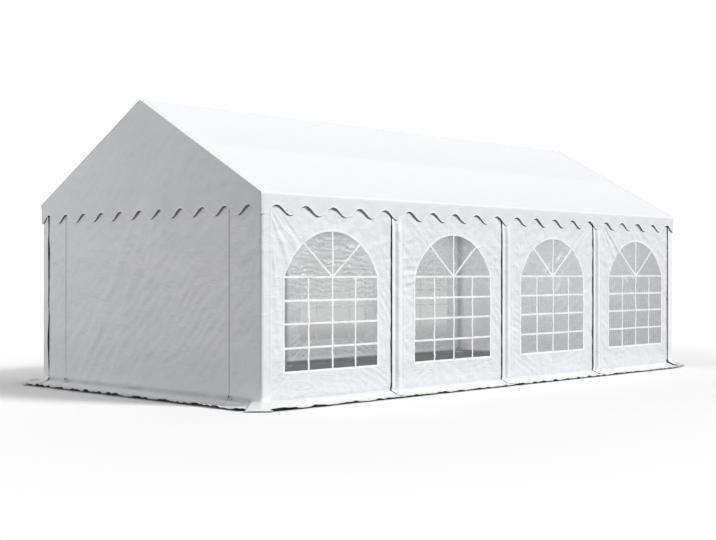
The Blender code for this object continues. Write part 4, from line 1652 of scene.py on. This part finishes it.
def roof_pattern():
    """Valance, slope, slope and valance as one lattice, with scalloped ends."""
    run, depth = scalloped(ROOF_Y, SIDE_LOBES)
    valance = [EAVE_S + share * depth for share in np.linspace(0.0, 1.0, VALANCE_ROWS)[1:]]
    slopes = [np.full_like(run, line) for line in SLOPE_LINES]
    s_rows = np.stack([-line for line in valance[::-1]] + slopes + valance, axis=1)
    return lattice(*np.broadcast_arrays(s_rows, run[:, None]))


def roof_place(s, t):
    """Where the cover's flat places lie, s from the ridge and t along the tent."""
    x, z = along(ROOF_SECTION, s + SECTION_HALF)
    on_valance = fade(np.abs(s), EAVE_S + 0.005, EAVE_S + 0.04)
    y, pull = round_corner(t, ROOF_Y, on_valance)
    return x - np.sign(x) * pull, y, z


def between(value, lines):
    """0 on each support line and 1 halfway between two of them."""
    return np.abs(np.sin(math.pi * np.interp(value, lines, np.arange(len(lines)))))


def roof_relief(s, t):
    """Sag between the tubes, soft drag lines, and the wave of the valances."""
    purlin_s = PURLIN_X / math.cos(SLOPE)
    supports = [-EAVE_S, -purlin_s, 0.0, purlin_s, EAVE_S]
    on_slope = fade(EAVE_S - np.abs(s), 0.0, 0.05)
    by_rake = fade(ROOF_Y - np.abs(t), 0.0, 0.30)
    sag = -SAG * between(s, supports) ** 0.8 * (0.30 + 0.70 * between(t, POST_LINES) ** 0.7) * by_rake
    soft = 0.0022 * soft_noise(s / 0.5, t / 0.7, 71) + 0.0014 * soft_noise(s / 0.35, t / 0.12, 72)
    creases = 0.0010 * pressed(s / 0.4, t / 0.34, 73)
    share = (np.abs(s) - EAVE_S) / scallop_depth(t, ROOF_Y, SIDE_LOBES)
    wave = valance_wave(t, ROOF_Y, SIDE_LOBES, share, 74)
    small = 0.0009 * soft_noise(s / 0.06, t / 0.09, 75) * fade(share, 0.0, 0.3)
    return (sag + (soft + creases) * 0.8) * on_slope + wave + small


cover_cut = roof_pattern()
cover = hang("roof_cover", cover_cut, roof_place, roof_relief, ROOF_CLOTH)
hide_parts("roof_left", "roof_right", "valance_left", "valance_right")
print("roof cover faces:", len(cover_cut[1]))

# %% [markdown]
# ## Gable triangles
# Each gable triangle and the valance under it are one flat sheet, sewn to the edge of the roof.
# The lattice has as many rows at the corners as in the middle, so its rows fan in to the eaves.
# A welded band binds the scallops, here and along the roof. It is whiter all over, a painted
# highlight along the rolled edge that catches the light.

# %% Hang the gable triangles
TRIANGLE_ROWS = 39
TRIANGLE_TOP = RIDGE - 0.006
BINDING_ROWS = np.array([0.013, 0.0065, 0.0])
BINDING_RAISE = 0.0014


def gable_top_pattern():
    """Valance rows below the eave line, and rows that follow the rake above it."""
    run, depth = scalloped(ROOF_X, GABLE_LOBES)
    rise = (TRIANGLE_TOP - EAVE) * (1 - np.abs(run) / flat_half(ROOF_X))
    rows = [EAVE - share * depth for share in np.linspace(1.0, 0.0, VALANCE_ROWS)]
    rows += [EAVE + share * rise for share in np.linspace(0.0, 1.0, TRIANGLE_ROWS)[1:]]
    return sewn(lattice(*np.broadcast_arrays(run, np.stack(rows))))


def gable_top_place(end):
    """Where a gable triangle's flat places stand."""

    def place(s, t):
        x, pull = round_corner(s, ROOF_X, fade(EAVE - t, 0.0, 0.035))
        return x, end * (ROOF_Y - pull), t

    return place


def gable_top_relief(seed):
    """Soft folds from the ridge, and the wave of the valance."""

    def relief(s, t):
        share = (EAVE - t) / scallop_depth(s, ROOF_X, GABLE_LOBES)
        wave = valance_wave(s, ROOF_X, GABLE_LOBES, share, seed)
        rake_room = (RIDGE - t) * math.cos(SLOPE) - np.abs(s) * math.sin(SLOPE)
        soft = 0.0060 * soft_noise(s / 0.6, t / 0.5, seed + 1)
        drag = 0.0034 * soft_noise((s + t) / 0.30, (t - s) / 0.11, seed + 2)
        down = 0.0020 * soft_noise(s / 0.09, t / 0.5, seed + 3)
        lines = 0.0036 * pressed((s - t) / 0.30, (s + t) / 0.22, seed + 4)
        depth = (soft + drag + down + lines) * fade(rake_room, 0.0, 0.10) * fade(EAVE - t, 0.16, -0.10)
        small = 0.0008 * soft_noise(s / 0.07, t / 0.06, seed + 5) * fade(share, 0.0, 0.3)
        return depth + wave + small

    return relief


gable_run, gable_depth = scalloped(ROOF_X, GABLE_LOBES)
for end, end_name in ENDS:
    pattern = gable_top_pattern()
    place = gable_top_place(end)
    relief = gable_top_relief(1200 + 10 * end)
    top = hang(f"gable_cloth_{end_name}", pattern, place, relief, ROOF_CLOTH, -end)
    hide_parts(f"gable_top_{end_name}")
    band = lattice(*np.broadcast_arrays(gable_run, EAVE - (gable_depth - BINDING_ROWS[::-1, None])))
    binding = hang(f"binding_{end_name}", band, place, raised(relief, BINDING_RAISE), TAPE, -end,
                   ALL_WHITENED)

# %% Bind the long scallops
side_run, side_depth = scalloped(ROOF_Y, SIDE_LOBES)
for side, side_name in SIDES:
    s_rows = side * (EAVE_S + side_depth[:, None] - BINDING_ROWS)
    band = lattice(*np.broadcast_arrays(s_rows[:, ::side], side_run[:, None]))
    hang(f"binding_{side_name}", band, roof_place, raised(roof_relief, BINDING_RAISE),
                         TAPE, 1, ALL_WHITENED)

# %% [markdown]
# ## Piping on the rakes
# The gable is sewn to the roof with a thin cord in the seam, and the cord catches the light as a
# bright line. A cord is a ring of points carried along a path. Here the path is the roof's own
# section, so the cord bends over eave and ridge with the cloth.

# %% Sew on the piping
CORD = 0.0048
CORD_SIDES = 8
CORD_STEPS = 161
CORD_ENDS_BEFORE = 0.01
CORD_DROP = 0.001


def cord(name, path, radius, finish):
    """A round cord along a path that lies in an upright plane across the tent."""
    run = np.gradient(path, axis=0)
    run /= np.linalg.norm(run, axis=1, keepdims=True)
    away = np.array([0.0, 1.0, 0.0])
    up = np.cross(run, away)
    turn = np.linspace(0, 2 * math.pi, CORD_SIDES, endpoint=False)[None, :, None]
    rings = path[:, None] + radius * (np.cos(turn) * up[:, None] + np.sin(turn) * away)
    index = np.arange(len(path) * CORD_SIDES).reshape(len(path), CORD_SIDES)
    ahead = np.roll(index, -1, axis=1)
    faces = np.stack([index[:-1], ahead[:-1], ahead[1:], index[1:]], -1).reshape(-1, 4)
    mesh = bpy.data.meshes.new(name)
    mesh.from_pydata(rings.reshape(-1, 3).tolist(), [], faces.tolist())
    return add_piece(name, mesh, finish)


reach = EAVE_S - CORD_ENDS_BEFORE
x, z = along(ROOF_SECTION, np.linspace(-reach, reach, CORD_STEPS) + SECTION_HALF)
for end, end_name in ENDS:
    y = np.full_like(x, end * (ROOF_Y - CORD_DROP))
    cord(f"piping_{end_name}", np.stack([x, y, z - CORD_DROP], axis=1), CORD, TAPE)
print("piping radius", CORD * 1000, "mm")
